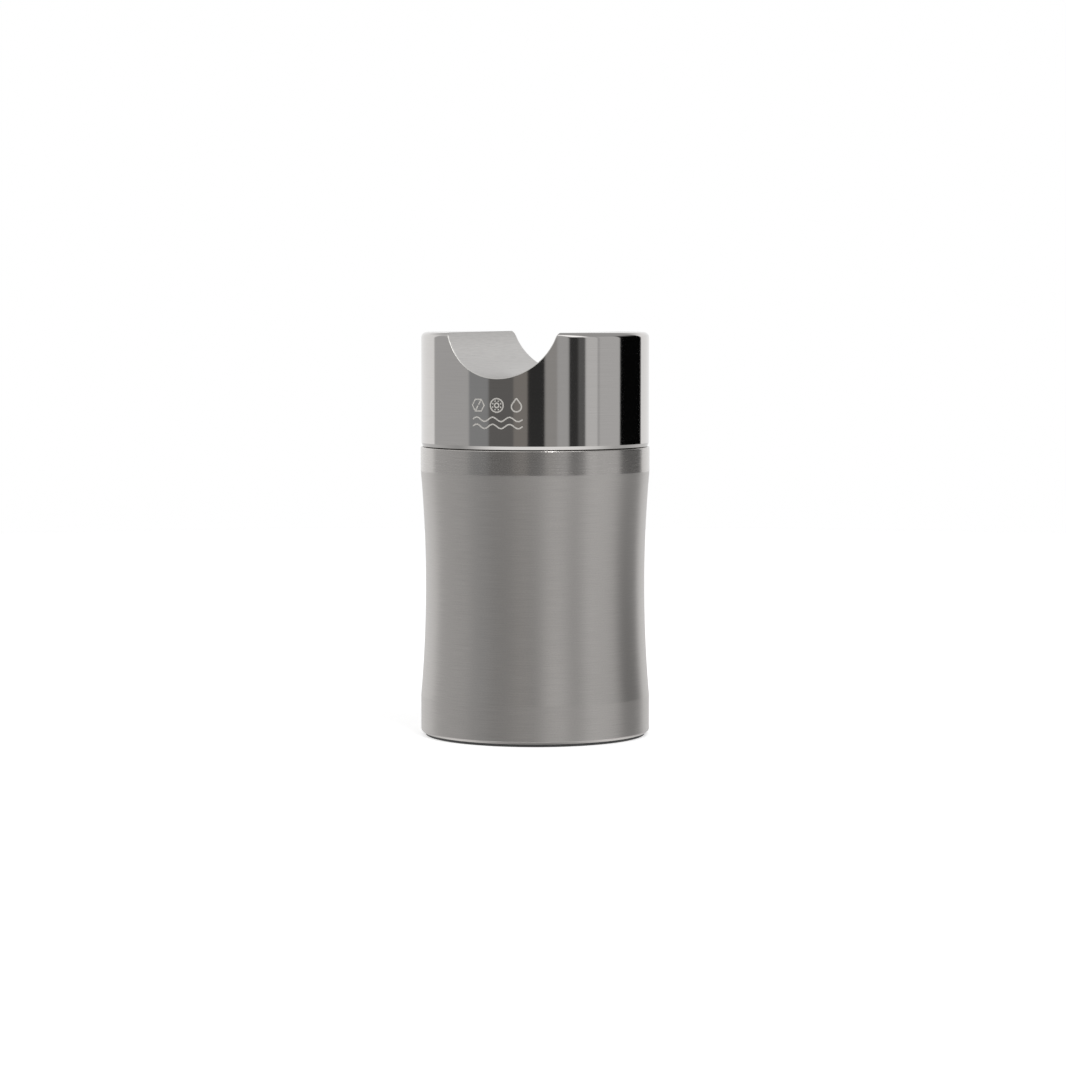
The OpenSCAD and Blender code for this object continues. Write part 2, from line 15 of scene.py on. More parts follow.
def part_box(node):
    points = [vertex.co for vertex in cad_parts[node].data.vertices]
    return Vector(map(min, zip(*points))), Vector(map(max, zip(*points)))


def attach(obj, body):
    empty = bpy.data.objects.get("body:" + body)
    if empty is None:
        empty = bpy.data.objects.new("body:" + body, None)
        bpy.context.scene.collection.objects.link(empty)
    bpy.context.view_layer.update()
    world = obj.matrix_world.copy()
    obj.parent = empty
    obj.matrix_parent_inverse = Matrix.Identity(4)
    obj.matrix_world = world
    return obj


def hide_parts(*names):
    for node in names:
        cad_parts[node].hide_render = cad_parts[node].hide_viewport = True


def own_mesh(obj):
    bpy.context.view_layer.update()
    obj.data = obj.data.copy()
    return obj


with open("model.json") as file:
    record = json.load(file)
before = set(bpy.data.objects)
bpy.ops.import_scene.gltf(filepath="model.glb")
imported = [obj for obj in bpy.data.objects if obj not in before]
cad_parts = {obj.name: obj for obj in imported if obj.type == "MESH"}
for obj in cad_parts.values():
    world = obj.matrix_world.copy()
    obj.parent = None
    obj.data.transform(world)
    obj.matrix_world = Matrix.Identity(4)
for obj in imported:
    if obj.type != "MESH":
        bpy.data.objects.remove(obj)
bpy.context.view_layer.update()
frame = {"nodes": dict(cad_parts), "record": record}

MM = 0.001

# --- sizes, from the frame

body_lo, body_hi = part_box("body_shell")
head_lo, head_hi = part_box("head_shell")
foot_lo, foot_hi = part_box("foot_ring")
collar_lo, collar_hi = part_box("spigot_collar")
cap_lo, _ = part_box("base_cap")

BODY_R = body_hi.x
BODY_Z0 = body_lo.z
SEAM_Z = body_hi.z
HEAD_R = head_hi.x
HEAD_Z0 = head_lo.z
TOP_Z = head_hi.z

# Outside, in metres: waist, rest trough and edge breaks
WAIST_DEPTH = 0.86 * MM
WAIST_Z0 = BODY_Z0 + 6.5 * MM
WAIST_Z1 = SEAM_Z - 4.2 * MM
TROUGH_R = 10.2 * MM
TROUGH_Z = TOP_Z + 2.5 * MM
TROUGH_BREAK = 0.14 * MM
TOP_ROUND = 1.0 * MM
HEAD_CHAMFER = (0.2 * MM, 0.6 * MM)
BODY_BREAK = 0.2 * MM

# Edges that turn by more than this are crisp
CRISP_ANGLE = math.radians(50)

# Inside: bores, ledge and pockets
BORE_R = BODY_R - 2.7 * MM
LEDGE_R = collar_hi.x
LEDGE_Z = SEAM_Z - 7 * MM
CAVITY_R = LEDGE_R + 0.15 * MM
CAVITY_Z = SEAM_Z + 10 * MM
SNAP_Z1 = LEDGE_Z - 2.5 * MM
SNAP_Z0 = SNAP_Z1 - 0.9 * MM
FOOT_R = foot_hi.x
FOOT_IN = FOOT_R - 0.8 * MM
MAGNET_RING = 17.5 * MM
MAGNET_R = 1.25 * MM
MAGNET_PLACES = [(MAGNET_RING, 0), (0, MAGNET_RING), (-MAGNET_RING, 0), (0, -MAGNET_RING)]
LUG_Z = BODY_Z0 + 2 * MM
TRACK_R = BORE_R + 1.1 * MM

# The base cap's bayonet in degrees: the lugs, and the ends of each lug's way in and of its track
LUG_ANGLES = (30, 150, 270)
LUG_HALF = 14
WAY_IN = (-62, -28)
TRACK = (-63, 18)

# The cap's coin slot (half its length, half its width, depth) and ring (two radii, depth)
COIN_SLOT = (8 * MM, 0.9 * MM, 1.2 * MM)
CAP_RING = (12.6 * MM, 13.0 * MM, 0.15 * MM)

# The bit and the button
HUB_R = 2.4 * MM
BUTTON_R = 2.8 * MM

# The deck's holes, and the sponge's foot in them
DRAIN_R = 0.8 * MM
DRAIN_RINGS = (4.6 * MM, 7.3 * MM, 10.0 * MM, 12.7 * MM)
DRAIN_PITCH = 2.9 * MM
CLEAR_OF_BUTTON = 4.5 * MM
CLEAR_OF_SCREW = 2.8 * MM
CLEAR_OF_SPONGE_X = 5.2 * MM
CLEAR_OF_SPONGE_Y = (3.5 * MM, 11.5 * MM)
SCREW_X = 12.2 * MM
SCREW_HOLE_R = 1.45 * MM
SPONGE_FOOT_X = 3.6 * MM
SPONGE_FOOT_Y = (6.0 * MM, 9.6 * MM)
SPONGE_GAP = 0.1 * MM

# The sponge is wet up to one height and dry from the other
WET_Z = 52.5 * MM
DRY_Z = 56.5 * MM

# The mark on the head's front
MARK_Z = 56.6 * MM
MARK_LINE = 0.24 * MM
MARK_PROUD = 0.012 * MM

# The camera: its angle round the object, how far it looks down, and where it stands
CAMERA_AZIMUTH = 19.13
CAMERA_PITCH = 3.82
CAMERA_DISTANCE = 606.5 * MM
CAMERA_HEIGHT = 75.8 * MM
CAMERA_SIDE = -0.374 * MM
CAMERA_LENS = 117.15


# --- camera and light

def make_camera():
    """The camera, facing the axis and tilted down by its pitch."""
    a = math.radians(CAMERA_AZIMUTH)
    back = Vector((math.sin(a), -math.cos(a), 0))
    right = Vector((math.cos(a), math.sin(a), 0))
    data = bpy.data.cameras.new("camera")
    data.lens = CAMERA_LENS
    data.sensor_width = 36
    data.clip_start = 0.01
    camera = placed("camera", data)
    camera.location = back * CAMERA_DISTANCE + right * CAMERA_SIDE + Vector((0, 0, CAMERA_HEIGHT))
    camera.rotation_euler = (math.radians(90 - CAMERA_PITCH), 0, a)
    bpy.context.scene.camera = camera


# Studio cards and flags round the object: (angle to the camera's right where each
# one ends, brightness, warmth). The first starts straight behind the object.
CARDS = [
    (-122.6, 0.96, 0.00), (-70.0, 0.50, 0.00), (-47.6, 0.31, -0.02), (-21.7, 0.15, 0.02),
    (-7.5, 0.24, 0.06), (9.5, 0.037, 0.00), (22.0, 0.36, 0.02), (34.2, 0.48, 0.00),
    (43.8, 0.043, 0.00), (51.5, 0.13, 0.00), (66.0, 0.66, 0.00), (67.2, 0.30, 0.00),
    (94.9, 0.57, 0.00), (134.2, 0.002, 0.00), (180.0, 0.96, 0.00),
]
CARD_BLEND = 0.8

# What the steel reflects above and below the cards. Each layer has its brightness at some angles to the
# camera's right, and comes in over the ones before it between two heights of a direction of length 1.
DOME = [(-150, 0.50), (-110, 0.82), (-20, 0.80), (5, 0.50), (34, 0.50), (42, 1.60), (54, 1.60), (62, 0.44),
        (150, 0.44)]
TABLE = [(-180, 0.80), (-142, 0.66), (-94, 0.42), (-54, 0.20), (-27, 0.18), (5, 0.42), (40, 0.42), (70, 0.66),
         (111, 0.50), (142, 0.70), (180, 0.80)]
NEAR_TABLE = [(-180, 1.10), (180, 1.10)]
SHADED_TABLE = [(-180, 0.22), (180, 0.22)]
LAYERS = [
    (DOME, 0.30, 0.62),
    (TABLE, -0.05, -0.15),
    (NEAR_TABLE, -0.46, -0.62),
    (SHADED_TABLE, -0.78, -0.96),
]

# The key light: a small disc high on the camera's right, and the floor it lights
KEY_TURN = 20
KEY_ELEVATION = 52
KEY_SIZE = 0.10
KEY_POWER = 1.2
KEY_DISTANCE = 0.8
KEY_TARGET_Z = 0.04
FLOOR_R = 0.55


def feed(target, value):
    """Links an input to a socket, or sets it to a number, a vector or a colour."""
    if isinstance(value, bpy.types.NodeSocket):
        target.id_data.links.new(value, target)
    elif isinstance(value, tuple) and len(value) < len(target.default_value):
        target.default_value = (*value, 1)
    else:
        target.default_value = value


def set_inputs(made, **values):
    """Feeds a node's named inputs. An underscore stands for a space in a name."""
    for key, value in values.items():
        feed(made.inputs[key.replace("_", " ")], value)


def node(tree, kind, **values):
    """A shader node with its properties and its named inputs set."""
    made = tree.nodes.new("ShaderNode" + kind)
    for key, value in values.items():
        if hasattr(made, key):
            setattr(made, key, value)
        else:
            set_inputs(made, **{key: value})
    return made


def math_node(operation, *values):
    """A Math node on a socket and other sockets or numbers. Returns its output socket."""
    made = node(values[0].id_data, "Math", operation=operation)
    for target, value in zip(made.inputs, values):
        feed(target, value)
    return made.outputs[0]


def mapped(value, start, end, low=0.0, high=1.0, curve="LINEAR"):
    """A value that goes from low to high while another goes from start to end."""
    return node(value.id_data, "MapRange", Value=value, From_Min=start, From_Max=end, To_Min=low, To_Max=high,
                interpolation_type=curve).outputs[0]


def ramp(factor, stops, interpolation="LINEAR"):
    """A colour ramp over (place, colour or grey level) stops. Returns its colour socket."""
    made = node(factor.id_data, "ValToRGB", Fac=factor)
    made.color_ramp.interpolation = interpolation
    elements = made.color_ramp.elements
    while len(elements) < len(stops):
        elements.new(0.5)
    for element, (place, colour) in zip(elements, stops):
        element.position = place
        element.color = (*colour, 1) if isinstance(colour, tuple) else (colour, colour, colour, 1)
    return made.outputs[0]


def mix_colour(factor, a, b, blend="MIX"):
    """A colour Mix node over a socket and a socket or a colour. Returns its result socket."""
    made = node(a.id_data, "Mix", data_type="RGBA", blend_type=blend)
    for i, value in ((0, factor), (6, a), (7, b)):
        feed(made.inputs[i], value)
    return made.outputs[2]


def card_stops():
    """The cards' colours, each blending into the next over a small angle."""
    stops = []
    colours = [(level * (1 + warmth), level, level * (1 - warmth)) for _, level, warmth in CARDS]
    for (end, _, _), colour, next_colour in zip(CARDS, colours, colours[1:]):
        stops.append(((end + 180 - CARD_BLEND) / 360, colour))
        stops.append(((end + 180 + CARD_BLEND) / 360, next_colour))
    return stops


def make_world():
    """White to the camera; cards, flags, a light dome and a table to everything that reflects."""
    world = bpy.data.worlds.new("studio")
    bpy.context.scene.world = world
    world.use_nodes = True
    tree = world.node_tree
    tree.nodes.clear()
    x, y, z = node(tree, "SeparateXYZ", Vector=node(tree, "TexCoord").outputs["Generated"]).outputs
    azimuth = math_node("ARCTAN2", x, math_node("MULTIPLY", y, -1))
    from_camera = math_node("SUBTRACT", azimuth, math.radians(CAMERA_AZIMUTH))
    wrapped = math_node("WRAP", from_camera, math.pi, -math.pi)
    place = math_node("MULTIPLY_ADD", wrapped, 1 / math.tau, 0.5)
    room = ramp(place, card_stops())
    for levels, start, end in LAYERS:
        layer = ramp(place, [((angle + 180) / 360, level) for angle, level in levels])
        room = mix_colour(mapped(z, start, end, curve="SMOOTHSTEP"), room, layer)
    seen = mix_colour(node(tree, "LightPath").outputs["Is Camera Ray"], room, (1.0, 1.0, 1.0))
    background = node(tree, "Background", Color=seen)
    feed(node(tree, "OutputWorld").inputs[0], background.outputs[0])


def make_key_light():
    """The small key light, aimed at the middle of the object."""
    a = math.radians(CAMERA_AZIMUTH + KEY_TURN)
    e = math.radians(KEY_ELEVATION)
    data = bpy.data.lights.new("key", "AREA")
    data.shape = "DISK"
    data.size = KEY_SIZE
    data.energy = KEY_POWER
    light = placed("key", data)
    toward = Vector((math.sin(a) * math.cos(e), -math.cos(a) * math.cos(e), math.sin(e)))
    light.location = Vector((0, 0, KEY_TARGET_Z)) + toward * KEY_DISTANCE
    light.rotation_mode = "QUATERNION"
    light.rotation_quaternion = toward.to_track_quat("Z", "Y")


def make_floor():
    """A round white table top that the grinder stands on."""
    bm = bmesh.new()
    bmesh.ops.create_circle(bm, cap_ends=True, segments=96, radius=FLOOR_R)
    floor = placed("floor", finished(bm, "floor"))
    floor.data.materials.append(floor_paper())


def floor_paper():
    """White paper lit to pure white. It is clear from below, and to the steel, which reflects the room."""
    material, tree, shader = new_material("floor_paper", (0.82, 0.82, 0.82), 0.9, Specular_IOR_Level=0.1,
                                          Emission_Color=(1.0, 1.0, 1.0), Emission_Strength=0.55)
    reflected = node(tree, "LightPath").outputs["Is Glossy Ray"]
    from_below = node(tree, "NewGeometry").outputs["Backfacing"]
    clear = node(tree, "BsdfTransparent").outputs[0]
    choice = node(tree, "MixShader")
    sources = (math_node("MAXIMUM", reflected, from_below), shader.outputs[0], clear)
    for target, source in zip(choice.inputs, sources):
        feed(target, source)
    feed(tree.nodes["Material Output"].inputs[0], choice.outputs[0])
    return material


# --- mesh helpers

def rounded(corners, steps=4):
    """Points of a closed outline of (r, z, radius) corners, each rounded by its radius."""
    points = []
    count = len(corners)
    for i, (r, z, radius) in enumerate(corners):
        here = Vector((r, z))
        if radius == 0:
            points.append((r, z))
            continue
        before = (Vector(corners[i - 1][:2]) - here).normalized()
        after = (Vector(corners[(i + 1) % count][:2]) - here).normalized()
        half = before.angle(after) / 2
        centre = here + (before + after).normalized() * (radius / math.sin(half))
        start = here + before * (radius / math.tan(half)) - centre
        end = here + after * (radius / math.tan(half)) - centre
        sweep = start.angle_signed(end)
        for k in range(steps + 1):
            turn = -sweep * k / steps
            c, s = math.cos(turn), math.sin(turn)
            points.append((centre.x + start.x * c - start.y * s,
                           centre.y + start.x * s + start.y * c))
    return points


def placed(name, data):
    """A new object, linked into the scene."""
    made = bpy.data.objects.new(name, data)
    bpy.context.collection.objects.link(made)
    return made


def new_object(name, mesh, body, *nodes, smooth=True):
    """A piece that rides on a body and stands for CAD nodes."""
    made = placed(name, mesh)
    if smooth:
        mesh.shade_smooth()
    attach(made, body)
    if nodes:
        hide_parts(*nodes)
    return made


def finished(bm, name):
    """The mesh made of a bmesh, which is freed."""
    mesh = bpy.data.meshes.new(name)
    bm.to_mesh(mesh)
    bm.free()
    return mesh


def mesh_from(name, vertices, faces):
    """A mesh with merged vertices and outward normals."""
    mesh = bpy.data.meshes.new(name)
    mesh.from_pydata(vertices, [], faces)
    bm = bmesh.new()
    bm.from_mesh(mesh)
    bmesh.ops.remove_doubles(bm, verts=bm.verts, dist=1e-7)
    bmesh.ops.dissolve_degenerate(bm, edges=bm.edges, dist=1e-8)
    bmesh.ops.recalc_face_normals(bm, faces=bm.faces)
    bm.to_mesh(mesh)
    bm.free()
    return mesh


def tube_faces(rings, sides, closed=True):
    """Quads between rings of this many vertices. A closed tube also joins its last ring to its first."""
    faces = []
    for i in range(rings if closed else rings - 1):
        here, there = i * sides, (i + 1) % rings * sides
        for j in range(sides):
            k = (j + 1) % sides
            faces.append((here + j, here + k, there + k, there + j))
    return faces


def strip_faces(lines):
    """Quads between neighbouring lines of vertices. A quad with shared corners becomes a triangle or goes."""
    faces = []
    for one, two in zip(lines, lines[1:]):
        for k in range(len(one) - 1):
            corners = (one[k], two[k], two[k + 1], one[k + 1])
            kept = tuple(v for j, v in enumerate(corners) if v != corners[j - 1])
            if len(kept) > 2:
                faces.append(kept)
    return faces


def turned_mesh(name, profile, columns=240):
    """A closed profile of (r, z) points turned round Z."""
    vertices = []
    for i in range(columns):
        a = math.tau * i / columns
        vertices += [(r * math.sin(a), -r * math.cos(a), z) for r, z in profile]
    return mesh_from(name, vertices, tube_faces(columns, len(profile)))


def cut(target, *cutters):
    """Cuts the cutter meshes out of the target and keeps the result as its mesh."""
    tools = [placed("cutter", mesh) for mesh in cutters]
    for tool in tools:
        modifier = target.modifiers.new("cut", "BOOLEAN")
        modifier.operation = "DIFFERENCE"
        modifier.solver = "EXACT"
        modifier.object = tool
    graph = bpy.context.evaluated_depsgraph_get()
    result = bpy.data.meshes.new_from_object(target.evaluated_get(graph))
    target.modifiers.clear()
    target.data = result
    for tool in tools:
        bpy.data.objects.remove(tool)


def even_normals(target):
    """Keeps wide faces flat up to their small rounded edges, and cut edges crisp."""
    target.data.shade_smooth()
    target.data.set_sharp_from_angle(angle=CRISP_ANGLE)
    modifier = target.modifiers.new("even_normals", "WEIGHTED_NORMAL")
    modifier.mode = "FACE_AREA"
    modifier.weight = 100
    modifier.keep_sharp = True


def set_normals(target, normal_at):
    """Gives each face corner the exact normal of the surface that the face stands for."""
    mesh = target.data
    mesh.shade_smooth()
    mesh.normals_split_custom_set([normal_at(face, mesh.vertices[v].co)
                                   for face in mesh.polygons for v in face.vertices])


def outward(co, up=0.0):
    """The unit vector away from the axis at this place, tilted up by this share."""
    return Vector((co.x, co.y, up * math.hypot(co.x, co.y))).normalized()


def rod_mesh(name, x, y, z0, z1, radius, columns=32):
    """An upright closed rod, used as a cutter."""
    bm = bmesh.new()
    bmesh.ops.create_cone(bm, cap_ends=True, segments=columns, radius1=radius, radius2=radius, depth=z1 - z0)
    bmesh.ops.translate(bm, verts=bm.verts, vec=(x, y, (z0 + z1) / 2))
    return finished(bm, name)


def sector_mesh(name, z0, z1, outer, inner, start, end, step=2):
    """A closed part of a ring between two angles, which run from +X in degrees."""
    count = max(2, math.ceil((end - start) / step))
    vertices = []
    for i in range(count + 1):
        a = math.radians(start + (end - start) * i / count)
        for r, z in ((inner, z0), (outer, z0), (outer, z1), (inner, z1)):
            vertices.append((r * math.cos(a), r * math.sin(a), z))
    last = 4 * count
    caps = [(0, 1, 2, 3), (last, last + 3, last + 2, last + 1)]
    return mesh_from(name, vertices, tube_faces(count + 1, 4, closed=False) + caps)


def magnet_pockets(z0, z1):
    """Cutters for the four magnets of a rim."""
    return [rod_mesh("pocket", x, y, z0, z1, MAGNET_R + 0.06 * MM) for x, y in MAGNET_PLACES]


# --- the body

def waist_points(steps=44):
    """The arc of the waist from its top end down to its low end."""
    half = (WAIST_Z1 - WAIST_Z0) / 2
    middle = (WAIST_Z1 + WAIST_Z0) / 2
    arc = (half ** 2 + WAIST_DEPTH ** 2) / (2 * WAIST_DEPTH)
    points = []
    for i in range(1, steps):
        z = WAIST_Z0 + (WAIST_Z1 - WAIST_Z0) * i / steps
        r = BODY_R - WAIST_DEPTH + arc - math.sqrt(arc ** 2 - (z - middle) ** 2)
        points.append((r, z, 0))
    return points


def make_body():
    """The waisted body, with its ledge, its bayonet ways and its magnet pockets."""
    e = 0.06 * MM
    corners = [
        (BORE_R, BODY_Z0, e),
        (FOOT_IN, BODY_Z0, e),
        (FOOT_IN, foot_hi.z, 0),
        (FOOT_R, foot_hi.z, 0),
        (FOOT_R, BODY_Z0, e),
        (BODY_R - 0.4 * MM, BODY_Z0, e),
        (BODY_R, BODY_Z0 + 0.4 * MM, 0.3 * MM),
        (BODY_R, WAIST_Z0, 3 * MM),
        *waist_points(),
        (BODY_R, WAIST_Z1, 1.2 * MM),
        (BODY_R, SEAM_Z, BODY_BREAK),
        (LEDGE_R, SEAM_Z, e),
        (LEDGE_R, LEDGE_Z, e),
        (BORE_R, LEDGE_Z, 0),
        (BORE_R, SNAP_Z1, 0),
        (BORE_R + 0.6 * MM, SNAP_Z1, 0),
        (BORE_R + 0.6 * MM, SNAP_Z0, 0),
        (BORE_R, SNAP_Z0, 0),
    ]
    body = turned_blank("body_shell_turned", "body_shell", "body", corners, columns=240)
    ways = []
    levels = ((BODY_Z0 - MM, LUG_Z, WAY_IN), (LUG_Z - 0.1 * MM, LUG_Z + 1.5 * MM, TRACK))
    for a in LUG_ANGLES:
        for z0, z1, (start, end) in levels:
            ways.append(sector_mesh("way", z0, z1, TRACK_R, BORE_R - MM, a + start, a + end))
    cut(body, *ways, *magnet_pockets(SEAM_Z - 1.5 * MM, SEAM_Z + MM))
    even_normals(body)
    return body


# --- the head

TROUGH_SLOT = 1
BREAK_SLOT = 2
WALL_ROWS = 24
ROUND_ROWS = 12
FLAT_ROWS = 14


def head_profile(inset):
    """Half outline of the head from its low edge up to the axis, moved inwards by inset."""
    chamfer_w, chamfer_h = HEAD_CHAMFER
    low_edge = rounded([
        (CAVITY_R, HEAD_Z0, 0),
        (HEAD_R - chamfer_w, HEAD_Z0, 0.06 * MM),
        (HEAD_R, HEAD_Z0 + chamfer_h, 0.06 * MM),
        (HEAD_R, TOP_Z, 0),
    ])
    points = low_edge[1:-1]
    wall_z0 = points[-1][1]
    wall_z1 = TOP_Z - TOP_ROUND
    points += [(HEAD_R, wall_z0 + (wall_z1 - wall_z0) * i / WALL_ROWS) for i in range(1, WALL_ROWS)]
    for i in range(ROUND_ROWS + 1):
        a = math.pi / 2 * i / ROUND_ROWS
        points.append((HEAD_R - TOP_ROUND * (1 - math.cos(a)), wall_z1 + TOP_ROUND * math.sin(a)))
    points += [((HEAD_R - TOP_ROUND) * (1 - i / FLAT_ROWS), TOP_Z) for i in range(1, FLAT_ROWS + 1)]
    if inset == 0:
        return points
    moved = []
    for i, (r, z) in enumerate(points):
        before = Vector(points[max(i - 1, 0)])
        after = Vector(points[min(i + 1, len(points) - 1)])
        along = (after - before).normalized()
        moved.append((max(r - inset * along.y, 0), z + inset * along.x))
    return moved


def trough_cut(profile, angle, radius):
    """(place along the profile, (r, z)) where the profile at this angle first enters the trough."""
    def inside(r, z):
        return (r * math.sin(angle)) ** 2 + (z - TROUGH_Z) ** 2 < radius ** 2

    for j in range(1, len(profile)):
        if not inside(*profile[j]):
            continue
        low, high = 0.0, 1.0
        (r0, z0), (r1, z1) = profile[j - 1], profile[j]
        for _ in range(40):
            middle = (low + high) / 2
            if inside(r0 + (r1 - r0) * middle, z0 + (z1 - z0) * middle):
                high = middle
            else:
                low = middle
        return j - 1 + low, (r0 + (r1 - r0) * low, z0 + (z1 - z0) * low)
    raise ValueError("the trough misses the head")


def head_angles(mouth_steps=64, wall_steps=80):
    """Angles from the front of the head's columns, even along the trough's mouths and even between them."""
    top_turn = math.acos((TROUGH_Z - TOP_Z + TROUGH_BREAK) / TROUGH_R)
    reach = HEAD_R - TOP_ROUND / 2
    turns = [top_turn * k / mouth_steps for k in range(mouth_steps + 1)]
    quarter = [math.asin(TROUGH_R * math.sin(turn) / reach) for turn in turns]
    corner = quarter[-1]
    quarter += [corner + (math.pi / 2 - corner) * k / wall_steps for k in range(1, wall_steps)]
    half = quarter + [math.pi / 2] + [math.pi - a for a in reversed(quarter[1:])]
    return half + [a + math.pi for a in half]


def head_columns(angles):
    """(vertices, columns of the skin up to the trough's broken edge, vertices on the edge's other side)."""
    outer = head_profile(0)
    inner = head_profile(TROUGH_BREAK)
    bore = rounded([
        (0, CAVITY_Z, 0),
        (CAVITY_R, CAVITY_Z, 0.3 * MM),
        (CAVITY_R, HEAD_Z0, 0.2 * MM),
        (HEAD_R - HEAD_CHAMFER[0], HEAD_Z0, 0),
    ])[:-1]
    skin = bore + outer
    vertices, columns, rims = [], [], []

    def put(a, r, z):
        vertices.append((r * math.sin(a), -r * math.cos(a), z))
        return len(vertices) - 1

    for a in angles:
        place, cut_point = trough_cut(outer, a, TROUGH_R + TROUGH_BREAK)
        last = len(bore) + place - 0.02
        column = [put(a, r, z) for j, (r, z) in enumerate(skin) if j < last]
        column.append(put(a, *cut_point))
        columns.append(column + [column[-1]] * (len(skin) - len(column)))
        rims.append(put(a, *trough_cut(inner, a, TROUGH_R)[1]))
    return vertices, columns, rims


def trough_rulings(vertices, rims):
    """Lines of vertices along the trough, from its left edge to its right one. Adds the vertices between."""
    half = len(rims) // 2
    edge_z = max(vertices[v][2] for v in rims) - 1e-9
    mouth = next(i for i in range(half) if vertices[rims[i]][2] >= edge_z) - 1
    right_edge = [rims[i] for i in range(mouth, half - mouth + 1)]
    left_edge = [rims[-i] for i in range(mouth, half - mouth + 1)]
    y0, y1 = vertices[right_edge[0]][1], vertices[right_edge[-1]][1]
    shares = [(vertices[v][1] - y0) / (y1 - y0) for v in right_edge[1:-1]]
    rulings = [left_edge]
    for i in range(-mouth + 1, mouth):
        front, back = rims[i], rims[half - i]
        a, b = Vector(vertices[front]), Vector(vertices[back])
        first = len(vertices)
        vertices.extend(tuple(a.lerp(b, share)) for share in shares)
        rulings.append([front, *range(first, len(vertices)), back])
    return [*rulings, right_edge]


def make_head(materials):
    """The head as one closed mesh: bore, low face, wall, rounded top edge, trough and its broken edge.
    The materials are those of the skin, the trough and the broken edge."""
    vertices, columns, rims = head_columns(head_angles())
    edge = [(column[-1], rim) for column, rim in zip(columns, rims)]
    skin_faces = strip_faces([*columns, columns[0]])
    trough_faces = strip_faces(trough_rulings(vertices, rims))
    break_faces = strip_faces([*edge, edge[0]])
    mesh = bpy.data.meshes.new("head_shell_turned")
    mesh.from_pydata(vertices, [], skin_faces + trough_faces + break_faces)
    for material in materials:
        mesh.materials.append(material)
    slots = [0] * len(skin_faces) + [TROUGH_SLOT] * len(trough_faces) + [BREAK_SLOT] * len(break_faces)
    mesh.polygons.foreach_set("material_index", slots)
    bm = bmesh.new()
    bm.from_mesh(mesh)
    bmesh.ops.remove_doubles(bm, verts=bm.verts, dist=1e-8)
    bmesh.ops.recalc_face_normals(bm, faces=bm.faces)
    bm.to_mesh(mesh)
    bm.free()
    head = new_object("head_shell_turned", mesh, "head", "head_shell")
    cut(head, *magnet_pockets(HEAD_Z0 - MM, HEAD_Z0 + 1.5 * MM))
    set_normals(head, head_normal)


def round_normal(co):
    """The normal of the head's outer skin at a place on its wall, its top round or its flat top."""
    radius = math.hypot(co.x, co.y)
    out = max(radius - (HEAD_R - TOP_ROUND), 0)
    up = max(co.z - (TOP_Z - TOP_ROUND), 0)
    if up == 0:
        return outward(co)
    if out == 0:
        return Vector((0, 0, 1))
    return outward(co, up / out)


def head_normal(face, co):
    """The normal of the head at a corner of a face."""
    across = Vector((-co.x, 0, TROUGH_Z - co.z)).normalized()
    if face.material_index == TROUGH_SLOT:
        return across
    if face.material_index == BREAK_SLOT:
        return (across + round_normal(co)).normalized()
    centre = face.center
    radius = math.hypot(centre.x, centre.y)
    outside_cavity = radius > CAVITY_R + 0.5 * MM or centre.z > CAVITY_Z + MM
    if outside_cavity and centre.z > HEAD_Z0 + HEAD_CHAMFER[1] + 0.05 * MM:
        return round_normal(co)
    if radius < CAVITY_R and abs(face.normal.z) < 0.1:
        return -outward(co)
    if radius > HEAD_R - 0.3 * MM:
        return outward(co, face.normal.z / math.hypot(face.normal.x, face.normal.y))
    return face.normal.copy()


# --- the etched mark

def stroke(points, width, closed):
    """(left, right) points of a ribbon of this width along a line of (across, up) points."""
    left, right = [], []
    count = len(points)
    for i, point in enumerate(points):
        before = points[i - 1] if closed or i > 0 else point
        after = points[(i + 1) % count] if closed or i < count - 1 else point
        along = (Vector(after) - Vector(before)).normalized()
        side = Vector((-along.y, along.x)) * (width / 2)
        left.append(Vector(point) + side)
        right.append(Vector(point) - side)
    return left, right


def ring_points(x, z, radius, count, start=0.0):
    """Points even round a circle, from its top or from a start angle."""
    angles = [start + math.tau * k / count for k in range(count)]
    return [(x + radius * math.sin(a), z + radius * math.cos(a)) for a in angles]


def mark_strokes():
    """The mark, in millimetres: a grinding wheel between a cut glass piece and a drop, over two waves."""
    side, middle, size = 3.45, 1.62, 1.15
    strokes = [
        (ring_points(0, middle, size, 48), True),
        (ring_points(0, middle, 0.38, 24), True),
        (ring_points(-side, middle, size, 6, math.pi / 6), True),
    ]
    for k in range(8):
        a = math.tau * (k + 0.5) / 8
        strokes.append(([(r * math.sin(a), middle + r * math.cos(a)) for r in (0.66, 0.88)], False))
    for a in (math.pi / 6, math.pi * 7 / 6):
        strokes.append(([(-side + r * math.sin(a), middle + r * math.cos(a)) for r in (1.0, 0.1)], False))
    drop = []
    for k in range(40):
        a = math.tau * k / 40
        pull = max(0.0, math.cos(a)) ** 6
        drop.append((side + 0.86 * math.sin(a) * (1 - 0.45 * pull), 1.42 + 0.86 * math.cos(a) + 0.52 * pull))
    strokes.append((drop, True))
    for z in (-0.75, -1.95):
        wave = [(-4.5 + 9 * k / 60, z + 0.36 * math.sin(math.tau * 3 * k / 60)) for k in range(61)]
        strokes.append((wave, False))
    return strokes


